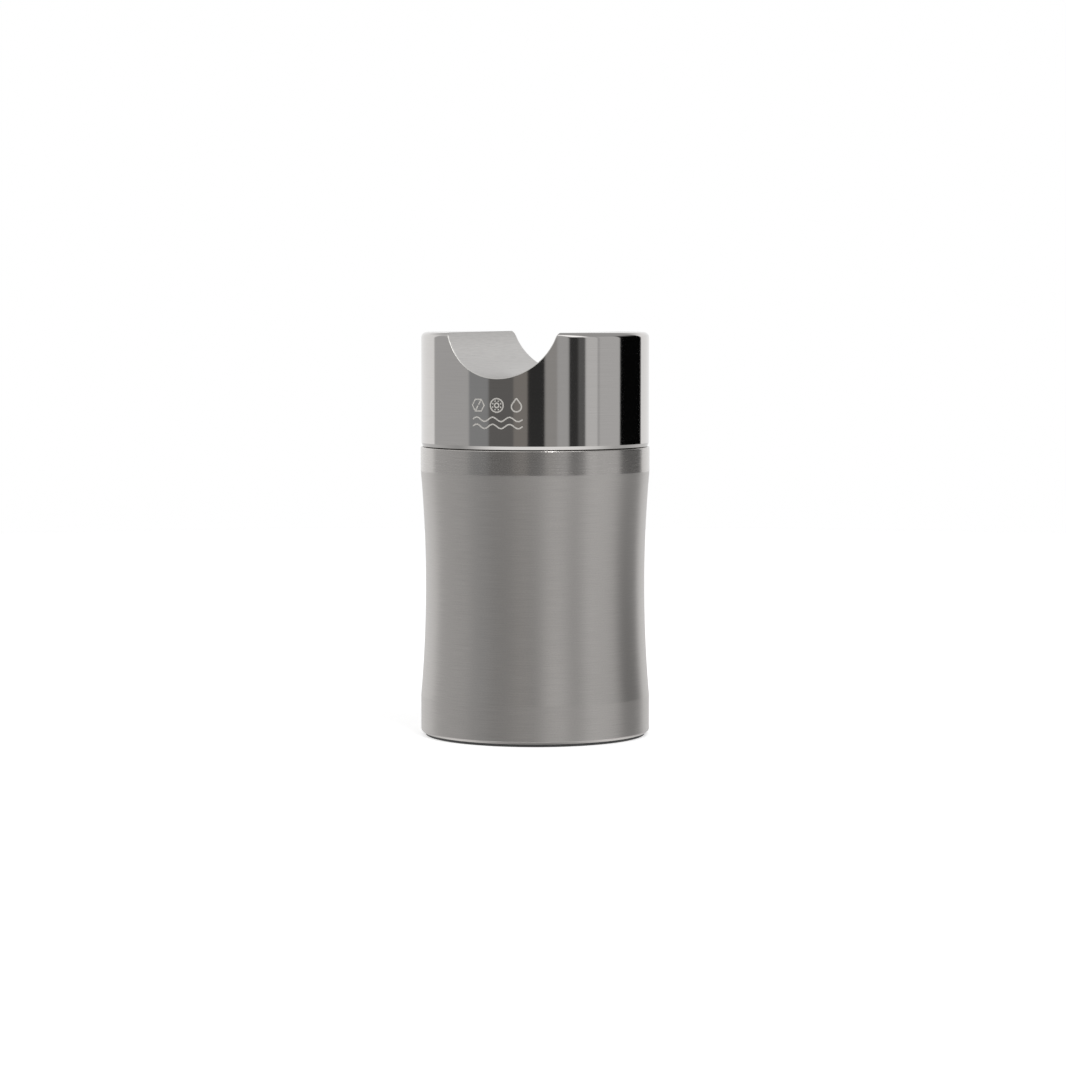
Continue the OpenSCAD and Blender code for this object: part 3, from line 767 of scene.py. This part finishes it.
def make_mark():
    """The mark as thin closed ribbons on the head's front."""
    vertices = []
    faces = []
    for points, closed in mark_strokes():
        left, right = stroke(points, MARK_LINE / MM, closed)
        first = len(vertices)
        for pair in zip(left, right):
            for radius in (HEAD_R - 0.01 * MM, HEAD_R + MARK_PROUD):
                for across, up in pair:
                    a = across * MM / HEAD_R
                    vertices.append((radius * math.sin(a), -radius * math.cos(a), MARK_Z + up * MM))
        count = len(points)
        for k in range(count if closed else count - 1):
            here, there = first + 4 * k, first + 4 * ((k + 1) % count)
            for a, b in ((0, 1), (1, 3), (3, 2), (2, 0)):
                faces.append((here + a, here + b, there + b, there + a))
        if not closed:
            last = first + 4 * (count - 1)
            faces += [(first, first + 1, first + 3, first + 2), (last, last + 2, last + 3, last + 1)]
    mark = new_object("head_etched_mark", mesh_from("head_etched_mark", vertices, faces), "head")
    set_normals(mark, lambda face, co: outward(co))
    return mark


# --- small turned pieces

def shifted(mesh, x=0.0, y=0.0, z=0.0):
    """A mesh moved from the axis to its place."""
    mesh.transform(Matrix.Translation((x, y, z)))
    return mesh


def joined(name, meshes):
    """One mesh from several closed ones."""
    bm = bmesh.new()
    for mesh in meshes:
        bm.from_mesh(mesh)
    return finished(bm, name)


def seal_groove(r, z, radius, reach, steps, rim):
    """Corners of a seal's round groove in a turned side: an arc of this many half turns, up to the rim."""
    turns = [math.pi * reach * (2 * k / steps - 1) for k in range(steps + 1)]
    corners = [(r - radius * math.cos(turn), z + radius * math.sin(turn), 0) for turn in turns]
    return [corner for corner in corners if corner[0] < rim - 1e-6]


def turned_blank(name, cad_node, body, corners, columns=96, x=0.0, y=0.0):
    """A turned piece that takes a CAD node's place, with its rounded edges."""
    return new_object(name, shifted(turned_mesh(name, rounded(corners), columns), x, y), body, cad_node)


def turned_piece(*values, **options):
    """A turned blank that needs no cut, with its normals evened."""
    piece = turned_blank(*values, **options)
    even_normals(piece)
    return piece


def make_magnets(cad_node, body):
    """Four plated discs with rounded rims."""
    lo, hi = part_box(cad_node)
    e = 0.12 * MM
    profile = rounded([(0, lo.z, 0), (MAGNET_R, lo.z, e), (MAGNET_R, hi.z, e), (0, hi.z, 0)])
    discs = [shifted(turned_mesh(cad_node, profile, 40), x, y) for x, y in MAGNET_PLACES]
    piece = new_object(cad_node + "_turned", joined(cad_node, discs), body, cad_node)
    even_normals(piece)
    return piece


def make_foot():
    """The rubber foot ring, with the soft edges of a moulding."""
    e = 0.16 * MM
    return turned_piece("foot_ring_moulded", "foot_ring", "body", [
        (FOOT_IN, foot_lo.z, e), (FOOT_R, foot_lo.z, e),
        (FOOT_R, foot_hi.z, 0.05 * MM), (FOOT_IN, foot_hi.z, 0.05 * MM),
    ], columns=240)


def make_collar():
    """The spigot collar, with a lead-in at its rim and the seal's groove."""
    outer = collar_hi.x
    inner = outer - 1.2 * MM
    seal_lo, seal_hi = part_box("spigot_seal")
    e = 0.05 * MM
    return turned_piece("spigot_collar_turned", "spigot_collar", "body", [
        (inner, collar_lo.z, e), (outer, collar_lo.z, e),
        *seal_groove(outer - 0.35 * MM, (seal_lo.z + seal_hi.z) / 2, 0.45 * MM, 0.78, 16, outer),
        (outer, collar_hi.z - 0.35 * MM, 0.1 * MM), (outer - 0.22 * MM, collar_hi.z, e),
        (inner, collar_hi.z, 0.15 * MM),
    ], columns=240)


def make_hub():
    """The bit's brass hub, with a small centre mark in its top and its set screw's hole."""
    lo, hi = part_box("bit_hub")
    band_lo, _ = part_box("bit_diamond_band")
    _, shaft_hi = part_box("spindle_shaft")
    shaft_r = shaft_hi.x
    e = 0.1 * MM
    piece = turned_piece("bit_hub_turned", "bit_hub", "spindle", [
        (shaft_r, lo.z, e), (hi.x, lo.z, e), (hi.x, band_lo.z, e),
        (HUB_R, band_lo.z, 0), (HUB_R, hi.z, 0.15 * MM), (0.55 * MM, hi.z, e), (0, hi.z - 0.5 * MM, 0),
        (0, shaft_hi.z, 0), (shaft_r, shaft_hi.z, 0),
    ])
    hole = rod_mesh("hole", 0, 0, 0, 4 * MM, 0.62 * MM)
    hole.transform(Matrix.Rotation(math.pi / 2, 4, "Y"))
    cut(piece, shifted(hole, z=(lo.z + band_lo.z) / 2))
    even_normals(piece)
    return piece


def make_band():
    """The bit's band of diamond grit: a turned ring whose face carries coarse grains."""
    lo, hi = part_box("bit_diamond_band")
    columns, rows = 220, 52
    skin = 0.09 * MM
    e = 0.22 * MM
    vertices = []
    for i in range(columns):
        a = math.tau * i / columns
        for j in range(rows):
            z = lo.z + (hi.z - lo.z) * j / (rows - 1)
            edge = min(z - lo.z, hi.z - z)
            drop = e - math.sqrt(max(e ** 2 - (e - edge) ** 2, 0)) if edge < e else 0.0
            place = Vector((hi.x * math.cos(a), hi.x * math.sin(a), z)) / MM
            grain = noise_field.cell(place * 5.2) * 0.6 + noise_field.noise(place * 3.1) * 0.25 + 0.25
            r = hi.x - drop - skin * min(max(1 - grain, 0), 1)
            vertices.append((r * math.cos(a), r * math.sin(a), z))
        for z in (hi.z, lo.z):
            vertices.append((HUB_R * math.cos(a), HUB_R * math.sin(a), z))
    mesh = mesh_from("bit_diamond_grit", vertices, tube_faces(columns, rows + 2))
    return new_object("bit_diamond_grit", mesh, "spindle", "bit_diamond_band", smooth=False)


def make_button():
    """The power button: a dished top, a seal groove, a collar and a foot on the switch."""
    lo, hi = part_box("button_cap")
    _, deck_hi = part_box("work_deck")
    collar_r = (hi.x - lo.x) / 2
    collar_z = deck_hi.z - 2 * MM
    foot_r = 1.1 * MM
    e = 0.1 * MM
    outs = [1 - k / 8 for k in range(9)]
    dish = [(BUTTON_R * 0.78 * out, hi.z - 0.22 * MM * (1 - out ** 2), 0) for out in outs]
    return turned_piece("button_cap_moulded", "button_cap", "button", [
        (0, lo.z, 0), (foot_r, lo.z, e), (foot_r, collar_z, 0), (collar_r, collar_z, e),
        (collar_r, collar_z + 0.7 * MM, e), (BUTTON_R, collar_z + 0.7 * MM, 0),
        *seal_groove(BUTTON_R - 0.15 * MM, deck_hi.z - 0.5 * MM, 0.3 * MM, 0.66, 12, BUTTON_R),
        (BUTTON_R, hi.z, 0.3 * MM), *dish,
    ], x=(lo.x + hi.x) / 2, y=(lo.y + hi.y) / 2)


def make_spring():
    """The button's return spring, a round wire coil with closed ends."""
    lo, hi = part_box("button_spring")
    x, y = (lo.x + hi.x) / 2, (lo.y + hi.y) / 2
    wire = 0.2 * MM
    coil_r = (hi.x - lo.x) / 2 - wire
    turns, steps, sides = 5, 40, 12
    count = turns * steps
    vertices = []
    for i in range(count + 1):
        a = math.tau * i / steps
        share = min(max((i / steps - 0.75) / (turns - 1.5), 0), 1)
        z = lo.z + wire + (hi.z - lo.z - 2 * wire) * share
        for j in range(sides):
            b = math.tau * j / sides
            r = coil_r + wire * math.cos(b)
            vertices.append((x + r * math.cos(a), y + r * math.sin(a), z + wire * math.sin(b)))
    ends = [tuple(range(sides)), tuple(count * sides + j for j in reversed(range(sides)))]
    mesh = mesh_from("button_spring_coil", vertices, tube_faces(count + 1, sides, closed=False) + ends)
    spring = new_object("button_spring_coil", mesh, "body", "button_spring")
    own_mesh(spring)
    return spring


def make_deck():
    """The work deck, with every drain hole countersunk a little and its openings cut clean."""
    lo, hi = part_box("work_deck")
    button_lo, button_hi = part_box("button_cap")
    button_y = (button_lo.y + button_hi.y) / 2
    e = 0.12 * MM
    hub_r = 2.2 * MM
    deck = turned_blank("work_deck_moulded", "work_deck", "body", [
        (hub_r, lo.z, 0), (hi.x, lo.z, 0), (hi.x, hi.z, e), (hub_r, hi.z, e)], columns=192)

    def hole(x, y, radius, flare, columns):
        return funnel_mesh(x, y, lo.z - MM, hi.z, radius, flare, columns)

    drains = [hole(x, y, DRAIN_R, 0.14 * MM, 24) for x, y in drain_places(button_y)]
    fittings = [hole(x, 0, SCREW_HOLE_R, 0.06 * MM, 40) for x in (-SCREW_X, SCREW_X)]
    fittings.append(hole(0, button_y, BUTTON_R + 0.2 * MM, 0.12 * MM, 64))
    fittings.append(box_mesh((-SPONGE_FOOT_X - SPONGE_GAP, SPONGE_FOOT_Y[0] - SPONGE_GAP, lo.z - MM),
                             (SPONGE_FOOT_X + SPONGE_GAP, SPONGE_FOOT_Y[1] + SPONGE_GAP, hi.z + MM)))
    cut(deck, joined("drains", drains), joined("fittings", fittings))
    even_normals(deck)
    return deck


def drain_places(button_y):
    """Places of the deck's drain holes: four rings, clear of the button, the screws and the sponge."""
    places = []
    for r in DRAIN_RINGS:
        count = round(math.tau * r / DRAIN_PITCH)
        for k in range(count):
            a = math.tau * k / count + math.pi / 2
            x, y = r * math.cos(a), r * math.sin(a)
            by_button = math.hypot(x, y - button_y) <= CLEAR_OF_BUTTON
            by_screw = math.hypot(abs(x) - SCREW_X, y) <= CLEAR_OF_SCREW
            by_sponge = abs(x) < CLEAR_OF_SPONGE_X and CLEAR_OF_SPONGE_Y[0] < y < CLEAR_OF_SPONGE_Y[1]
            if not (by_button or by_screw or by_sponge):
                places.append((x, y))
    return places


def funnel_mesh(x, y, z0, top, radius, flare, columns):
    """A cutter for a round hole that widens by flare at the top face."""
    wide = radius + flare
    profile = [(0, z0), (radius, z0), (radius, top - flare), (wide, top), (wide, top + MM), (0, top + MM)]
    return shifted(turned_mesh("funnel", profile, columns), x, y)


def box_mesh(lo, hi):
    """A closed box, used as a cutter."""
    bm = bmesh.new()
    bmesh.ops.create_cube(bm, size=1)
    for v in bm.verts:
        v.co = [lo[k] if v.co[k] < 0 else hi[k] for k in range(3)]
    return finished(bm, "box")


# --- the sponge

def sponge_block(lo, hi, edge, step):
    """A closed box with rounded edges as a fine even grid, in a bmesh."""
    bm = bmesh.new()
    counts = [max(2, round((hi[k] - lo[k]) / step)) for k in range(3)]
    for axis in range(3):
        u, v = (axis + 1) % 3, (axis + 2) % 3
        for side in (lo[axis], hi[axis]):
            grid = []
            for i in range(counts[u] + 1):
                row = []
                for j in range(counts[v] + 1):
                    co = [0.0, 0.0, 0.0]
                    co[axis] = side
                    co[u] = lo[u] + (hi[u] - lo[u]) * i / counts[u]
                    co[v] = lo[v] + (hi[v] - lo[v]) * j / counts[v]
                    row.append(bm.verts.new(co))
                grid.append(row)
            for i in range(counts[u]):
                for j in range(counts[v]):
                    bm.faces.new((grid[i][j], grid[i + 1][j], grid[i + 1][j + 1], grid[i][j + 1]))
    bmesh.ops.remove_doubles(bm, verts=bm.verts, dist=step * 0.1)
    for v in bm.verts:
        core = Vector([min(max(v.co[k], lo[k] + edge), hi[k] - edge) for k in range(3)])
        away = v.co - core
        if away.length > 0:
            v.co = core + away.normalized() * edge
    bmesh.ops.recalc_face_normals(bm, faces=bm.faces)
    bm.normal_update()
    return bm


def press_pits(bm):
    """Presses pits of two sizes of cell into a block, and stores their depth for the painted shade in the
    sponge's material.
    """
    layer = bm.verts.layers.float.new("pit")
    moves = []
    for v in bm.verts:
        place = v.co / MM
        near, _ = noise_field.voronoi(place * 1.55)
        fine, _ = noise_field.voronoi(place * 3.4 + Vector((9, 4, 2)))
        pit = min(max(0.0, 1 - near[0] * 1.9) + 0.45 * max(0.0, 1 - fine[0] * 1.9), 1.0)
        v[layer] = pit
        wave = 0.06 * noise_field.noise(place * 0.45)
        moves.append(v.normal * -(0.34 * pit + 0.08 + wave) * MM)
    for v, move in zip(bm.verts, moves):
        v.co += move


def make_sponge():
    """The open-cell sponge: a foot in the tray and a block by the bit."""
    lo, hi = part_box("coolant_sponge")
    _, deck_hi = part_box("work_deck")
    shelf = deck_hi.z + 0.1 * MM
    (y0, y1), x1 = SPONGE_FOOT_Y, SPONGE_FOOT_X
    foot = sponge_block((-x1, y0, lo.z), (x1, y1, shelf + 0.5 * MM), 0.3 * MM, 0.25 * MM)
    top = sponge_block((lo.x, lo.y, shelf), tuple(hi), 0.7 * MM, 0.13 * MM)
    for block in (foot, top):
        press_pits(block)
    mesh = joined("coolant_sponge_cells", [finished(block, "sponge") for block in (foot, top)])
    piece = new_object("coolant_sponge_cells", mesh, "body", "coolant_sponge")
    return piece


def make_cap():
    """The base cap: a turned disc with its seal groove, three bayonet lugs and a coin slot."""
    pad_lo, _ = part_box("cap_pad")
    seal_lo, seal_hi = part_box("base_seal")
    middle = (seal_lo.z + seal_hi.z) / 2
    groove_z0, groove_z1 = middle - 0.5 * MM, middle + 0.5 * MM
    z0, z1 = cap_lo.z, pad_lo.z
    e = 0.12 * MM
    disc_r = BORE_R - 0.2 * MM
    groove_r = disc_r - 0.75 * MM
    cap = turned_blank("base_cap_turned", "base_cap", "base_cap", [
        (0, z0, 0), (disc_r, z0, 0.25 * MM), (disc_r, groove_z0, e), (groove_r, groove_z0, e),
        (groove_r, groove_z1, e), (disc_r, groove_z1, e), (disc_r, z1, e), (0, z1, 0),
    ], columns=240)
    x, y, depth = COIN_SLOT
    slot = box_mesh((-x, -y, z0 - MM), (x, y, z0 + depth))
    r0, r1, depth = CAP_RING
    ring = [(r0, z0 - MM), (r1, z0 - MM), (r1, z0 + depth), (r0, z0 + depth)]
    cut(cap, slot, turned_mesh("ring_groove", ring, 192))
    lugs = []
    for a in LUG_ANGLES:
        lugs.append(sector_mesh("lug", LUG_Z, LUG_Z + 1.4 * MM, BORE_R + 0.9 * MM, disc_r - MM,
                                a - LUG_HALF, a + LUG_HALF))
    cap.data = joined("base_cap_turned", [cap.data, *lugs])
    set_normals(cap, cap_normal)
    return cap


def cap_normal(face, co):
    """The cap's normal: round on its rims and its groove, flat on its faces and in its slot."""
    flat = math.hypot(face.normal.x, face.normal.y)
    centre = face.center
    if flat < 0.1 or math.hypot(centre.x, centre.y) < 10 * MM:
        return face.normal.copy()
    facing = face.normal.dot(outward(centre)) / flat
    if abs(facing) < 0.9:
        return face.normal.copy()
    away = outward(co) * math.copysign(flat, facing)
    return Vector((away.x, away.y, face.normal.z)).normalized()


# --- materials

def new_material(name, colour, roughness, metallic=0.0, **constants):
    """A Principled material. Returns (material, tree, shader)."""
    material = bpy.data.materials.new(name)
    material.use_nodes = True
    tree = material.node_tree
    shader = tree.nodes["Principled BSDF"]
    set_inputs(shader, Base_Color=colour, Roughness=roughness, Metallic=metallic, **constants)
    return material, tree, shader


def object_place(tree):
    """The socket of the place on the object."""
    return node(tree, "TexCoord").outputs["Object"]


def object_parts(tree):
    """The sockets of x, y and z on the object."""
    return node(tree, "SeparateXYZ", Vector=object_place(tree)).outputs


def object_scaled(tree, *scale):
    """The place times a scale, or one for each axis, so that patterns have cells of 1 / scale metres."""
    spread = scale if len(scale) == 3 else scale * 3
    return node(tree, "Mapping", Vector=object_place(tree), Scale=spread).outputs[0]


def turned_coordinates(tree, radius, along, across):
    """Coordinates on a turned surface: (arc length / along, (height + radius) / across)."""
    x, y, z = object_parts(tree)
    angle = math_node("ARCTAN2", y, x)
    reach = math_node("SQRT", math_node("MULTIPLY_ADD", x, x, math_node("MULTIPLY", y, y)))
    return node(tree, "CombineXYZ", X=math_node("MULTIPLY", angle, radius / along),
                Y=math_node("MULTIPLY", math_node("ADD", z, reach), 1 / across)).outputs[0]


def noise(vector, detail, roughness):
    """A noise pattern of scale 1 over these coordinates."""
    return node(vector.id_data, "TexNoise", Vector=vector, Scale=1.0, Detail=float(detail),
                Roughness=roughness).outputs["Fac"]


def blended(a, b, share):
    """a * share + b * (1 - share)."""
    return math_node("MULTIPLY_ADD", a, share, math_node("MULTIPLY", b, 1 - share))


def bump(shader, height, strength, distance):
    """Raises a bump of this distance on a shader's surface."""
    made = node(shader.id_data, "Bump", Height=height, Strength=strength, Distance=distance)
    set_inputs(shader, Normal=made.outputs[0])


def radial_tangent(shader):
    """Turns a shader's stretched highlights to follow rings round the axis."""
    made = node(shader.id_data, "Tangent", direction_type="RADIAL", axis="Z")
    set_inputs(shader, Tangent=made.outputs[0])


def lively(shader, pattern, contrast, swing, distance, strength):
    """Lets a 0 to 1 pattern vary a shader's colour and roughness and raise a bump. Returns the colour."""
    colour = shader.inputs["Base Color"].default_value[:3]
    roughness = shader.inputs["Roughness"].default_value
    shades = [tuple(min(c * share, 1.0) for c in colour) for share in (1 - contrast, 1 + contrast)]
    tone = ramp(pattern, [(0.25, shades[0]), (0.75, shades[1])])
    rough = math_node("MULTIPLY_ADD", pattern, 2 * swing, roughness - swing)
    set_inputs(shader, Base_Color=tone, Roughness=rough)
    bump(shader, pattern, strength, distance)
    return tone


def body_steel():
    """Finely turned satin steel. The land above the waist is smoother."""
    material, tree, shader = new_material("body_steel", (0.60, 0.59, 0.58), 0.33, 1.0,
                                          Anisotropic=0.70, Anisotropic_Rotation=0.25)
    fine = noise(turned_coordinates(tree, BODY_R, 6 * MM, 0.10 * MM), 3, 0.65)
    grain = noise(turned_coordinates(tree, BODY_R, 0.30 * MM, 0.16 * MM), 2, 0.6)
    texture = blended(fine, grain, 0.6)
    tone = ramp(texture, [(0.36, (0.518, 0.498, 0.481)), (0.64, (0.616, 0.594, 0.573))])
    land = mapped(object_parts(tree)[2], WAIST_Z1 - 0.2 * MM, WAIST_Z1 + 0.2 * MM, 0.34, 0.20)
    set_inputs(shader, Base_Color=tone, Roughness=math_node("MULTIPLY_ADD", texture, 0.12, land))
    bump(shader, texture, 0.06, 0.02 * MM)
    radial_tangent(shader)
    return material


def head_steel():
    """Polished steel with the faintest turning marks."""
    material, tree, shader = new_material("head_steel", (0.60, 0.59, 0.58), 0.06, 1.0, Anisotropic=0.4)
    fine = noise(turned_coordinates(tree, HEAD_R, 9 * MM, 0.12 * MM), 3, 0.6)
    tone = ramp(fine, [(0.3, (0.594, 0.576, 0.560)), (0.7, (0.630, 0.611, 0.595))])
    set_inputs(shader, Base_Color=tone, Roughness=math_node("MULTIPLY_ADD", fine, 0.05, 0.035))
    bump(shader, fine, 0.02, 0.01 * MM)
    radial_tangent(shader)
    return material


def trough_steel():
    """The milled trough: satin, with fine marks along it."""
    material, tree, shader = new_material("trough_steel", (0.50, 0.49, 0.48), 0.3, 1.0)
    fine = noise(object_scaled(tree, 9000, 260, 9000), 3, 0.6)
    tone = ramp(fine, [(0.38, (0.490, 0.476, 0.463)), (0.62, (0.580, 0.565, 0.549))])
    set_inputs(shader, Base_Color=tone, Roughness=math_node("MULTIPLY_ADD", fine, 0.12, 0.24))
    bump(shader, fine, 0.12, 0.01 * MM)
    return material


def edge_steel():
    """The trough's deburred edge: a fine bright line, rubbed by hand."""
    material, tree, shader = new_material("edge_steel", (0.64, 0.63, 0.61), 0.5, 1.0)
    lively(shader, noise(object_scaled(tree, 5000), 2, 0.6), 0.06, 0.08, 0.006 * MM, 0.2)
    return material


def etched_steel():
    """The frosted lines of the mark."""
    material, tree, shader = new_material("etched_steel", (0.62, 0.60, 0.565), 0.6, 0.25)
    lively(shader, noise(object_scaled(tree, 9000), 3, 0.7), 0.12, 0.12, 0.006 * MM, 0.3)
    return material


def turned_metal(name, colour, roughness, radius, line):
    """Turned or ground metal: fine rings round the axis, with small changes of tone and gloss."""
    material, tree, shader = new_material(name, colour, roughness, 1.0, Anisotropic=0.3)
    fine = noise(turned_coordinates(tree, radius * MM, 2.5 * MM, line * MM), 3, 0.6)
    grain = noise(object_scaled(tree, 3200), 2, 0.6)
    lively(shader, blended(fine, grain, 0.7), 0.09, 0.08, 0.008 * MM, 0.15)
    radial_tangent(shader)
    return material


def moulded_plastic(name, colour, roughness, grain, strength):
    """Moulded plastic: a fine spark-eroded grain over slow changes of gloss."""
    material, tree, shader = new_material(name, colour, roughness, Specular_IOR_Level=0.45)
    fine = noise(object_scaled(tree, 1 / (grain * MM)), 3, 0.65)
    slow = noise(object_scaled(tree, 260), 2, 0.5)
    lively(shader, blended(fine, slow, 0.7), 0.10, 0.09, 0.012 * MM, strength)
    return material


def soft_rubber(name, colour):
    """Dull rubber with a bloom of paler specks."""
    material, tree, shader = new_material(name, colour, 0.72, Specular_IOR_Level=0.3)
    fine = noise(object_scaled(tree, 6500), 4, 0.7)
    bloom = noise(object_scaled(tree, 420), 3, 0.6)
    lively(shader, blended(fine, bloom, 0.6), 0.35, 0.12, 0.02 * MM, 0.3)
    return material


def circuit_board():
    """Green solder mask over paler tracks."""
    material, tree, shader = new_material("circuit_board", (0.03, 0.16, 0.09), 0.35)
    tracks = node(tree, "TexVoronoi", feature="DISTANCE_TO_EDGE", distance="MANHATTAN", Scale=1.0,
                  Vector=object_scaled(tree, 620))
    edge = ramp(tracks.outputs["Distance"], [(0.05, 1.0), (0.12, 0.0)])
    mask = lively(shader, noise(object_scaled(tree, 5000), 2, 0.6), 0.12, 0.06, 0.004 * MM, 0.2)
    set_inputs(shader, Base_Color=mix_colour(edge, mask, (0.07, 0.30, 0.16)))
    return material


def cell_jacket():
    """The cells' shrink sleeves: a metallic blue film with pale end bands and fine wrinkles."""
    lo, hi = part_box("battery_cells")
    material, tree, shader = new_material("cell_jacket", (0.10, 0.20, 0.34), 0.28, 0.55)
    film = lively(shader, noise(object_scaled(tree, 700, 700, 2600), 3, 0.6), 0.15, 0.07, 0.02 * MM, 0.25)
    share = mapped(object_parts(tree)[2], lo.z, hi.z)
    band = ramp(share, [(0.0, 1.0), (0.14, 0.0), (0.93, 0.0), (0.97, 1.0)], "CONSTANT")
    set_inputs(shader, Base_Color=mix_colour(band, film, (0.42, 0.42, 0.43)))
    return material


def copper_windings():
    """Enamelled copper wire, turn beside turn."""
    material, tree, shader = new_material("copper_windings", (0.62, 0.27, 0.12), 0.32, 1.0)
    turns = node(tree, "TexWave", bands_direction="Z", Scale=2200.0, Distortion=0.6, Detail=1.0,
                 Vector=object_place(tree))
    lively(shader, turns.outputs["Fac"], 0.3, 0.1, 0.05 * MM, 0.6)
    return material


def diamond_grit():
    """Diamond grains set in nickel: each grain has its own tone and gloss."""
    material, tree, shader = new_material("diamond_grit", (0.40, 0.41, 0.43), 0.4, 0.8)
    grains = node(tree, "TexVoronoi", feature="F1", Scale=1.0, Vector=object_scaled(tree, 5200))
    parts = node(tree, "SeparateColor", Color=grains.outputs["Color"])
    tone = ramp(parts.outputs[0], [(0.0, (0.13, 0.13, 0.14)), (0.55, (0.34, 0.35, 0.37)),
                                   (0.85, (0.55, 0.55, 0.53)), (1.0, (0.88, 0.88, 0.84))])
    set_inputs(shader, Base_Color=tone, Roughness=math_node("MULTIPLY_ADD", parts.outputs[1], 0.45, 0.15))
    bump(shader, grains.outputs["Distance"], 0.7, 0.03 * MM)
    return material


def open_cell_sponge():
    """Yellow cellulose sponge, wetter towards the tray, with painted shade that darkens its pits and the
    hollows of its cells and leaves its walls pale.
    """
    material, tree, shader = new_material("open_cell_sponge", (0.80, 0.62, 0.22), 0.85,
                                          Sheen_Weight=0.15, Specular_IOR_Level=0.3)
    pit = node(tree, "Attribute", attribute_name="pit").outputs["Fac"]
    # Painted shade: the deeper a pit, the darker the colour.
    tone = ramp(pit, [(0.0, (0.92, 0.70, 0.22)), (0.35, (0.84, 0.57, 0.14)), (0.9, (0.42, 0.24, 0.06))])
    cells = node(tree, "TexVoronoi", feature="F1", Scale=1.0, Vector=object_scaled(tree, 4600))
    # More painted shade: darker towards the middle of each cell, where the bump sinks.
    shade = ramp(cells.outputs["Distance"], [(0.05, 0.72), (0.6, 1.0)])
    colour_with_painted_shade = mix_colour(1.0, tone, shade, "MULTIPLY")
    dry = mapped(object_parts(tree)[2], WET_Z, DRY_Z, 0.68, 1.0)
    set_inputs(shader, Base_Color=mix_colour(1.0, colour_with_painted_shade, dry, "MULTIPLY"),
               Roughness=math_node("MULTIPLY_ADD", dry, 0.5, 0.38))
    bump(shader, cells.outputs["Distance"], 0.8, 0.06 * MM)
    return material


# Turned metals by slot: colour, roughness, then the radius and the width of a turned line in millimetres
TURNED_METALS = {
    "cap_steel": ((0.57, 0.56, 0.55), 0.30, 16, 0.14),
    "collar_steel": ((0.60, 0.60, 0.59), 0.22, 15, 0.08),
    "bright_steel": ((0.63, 0.63, 0.64), 0.24, 1.5, 0.05),
    "ball_steel": ((0.72, 0.72, 0.73), 0.10, 2.5, 0.20),
    "spring_steel": ((0.60, 0.60, 0.61), 0.26, 3, 0.12),
    "nickel": ((0.68, 0.66, 0.61), 0.18, 17, 0.10),
    "magnet": ((0.24, 0.24, 0.26), 0.48, 3, 0.10),
    "alloy": ((0.74, 0.75, 0.76), 0.30, 5, 0.10),
    "brass": ((0.72, 0.54, 0.24), 0.24, 2.5, 0.07),
}
# Moulded plastics by slot: colour, roughness, size of the grain in millimetres and strength of its bump
MOULDED_PLASTICS = {
    "tray_plastic": ((0.050, 0.054, 0.062), 0.34, 0.10, 0.25),
    "deck_plastic": ((0.085, 0.090, 0.100), 0.50, 0.14, 0.50),
    "inner_plastic": ((0.030, 0.032, 0.036), 0.45, 0.10, 0.25),
    "white_plastic": ((0.74, 0.73, 0.68), 0.42, 0.10, 0.25),
    "button_plastic": ((0.42, 0.035, 0.022), 0.42, 0.08, 0.25),
}
# Rubbers by slot: colour
RUBBERS = {
    "black_rubber": ((0.075, 0.075, 0.075),),
    "wire_red": ((0.36, 0.02, 0.015),),
    "wire_black": ((0.02, 0.02, 0.02),),
}


def make_finishes():
    """One material for each of the record's slots."""
    made = {
        "body_steel": body_steel(),
        "head_steel": head_steel(),
        "copper": copper_windings(),
        "diamond_grit": diamond_grit(),
        "circuit_board": circuit_board(),
        "cell_jacket": cell_jacket(),
        "sponge": open_cell_sponge(),
    }
    tables = {turned_metal: TURNED_METALS, moulded_plastic: MOULDED_PLASTICS, soft_rubber: RUBBERS}
    for maker, table in tables.items():
        for slot, values in table.items():
            made[slot] = maker(slot, *values)
    return made


# --- the scene

bpy.context.scene.view_settings.view_transform = "Standard"

make_camera()
make_world()
make_key_light()
make_floor()
finishes = make_finishes()

for part in frame["record"]["subparts"]:
    for cad_slot in frame["nodes"][part["node"]].material_slots:
        cad_slot.material = finishes[part["material_slot"]]

make_head([finishes["head_steel"], trough_steel(), edge_steel()])
for made, slot_name in (
    (make_body(), "body_steel"),
    (make_foot(), "black_rubber"),
    (make_magnets("body_magnets", "body"), "nickel"),
    (make_magnets("head_magnets", "head"), "nickel"),
    (make_collar(), "collar_steel"),
    (make_deck(), "deck_plastic"),
    (make_sponge(), "sponge"),
    (make_button(), "button_plastic"),
    (make_spring(), "spring_steel"),
    (make_hub(), "brass"),
    (make_band(), "diamond_grit"),
    (make_cap(), "cap_steel"),
):
    made.data.materials.clear()
    made.data.materials.append(finishes[slot_name])
make_mark().data.materials.append(etched_steel())
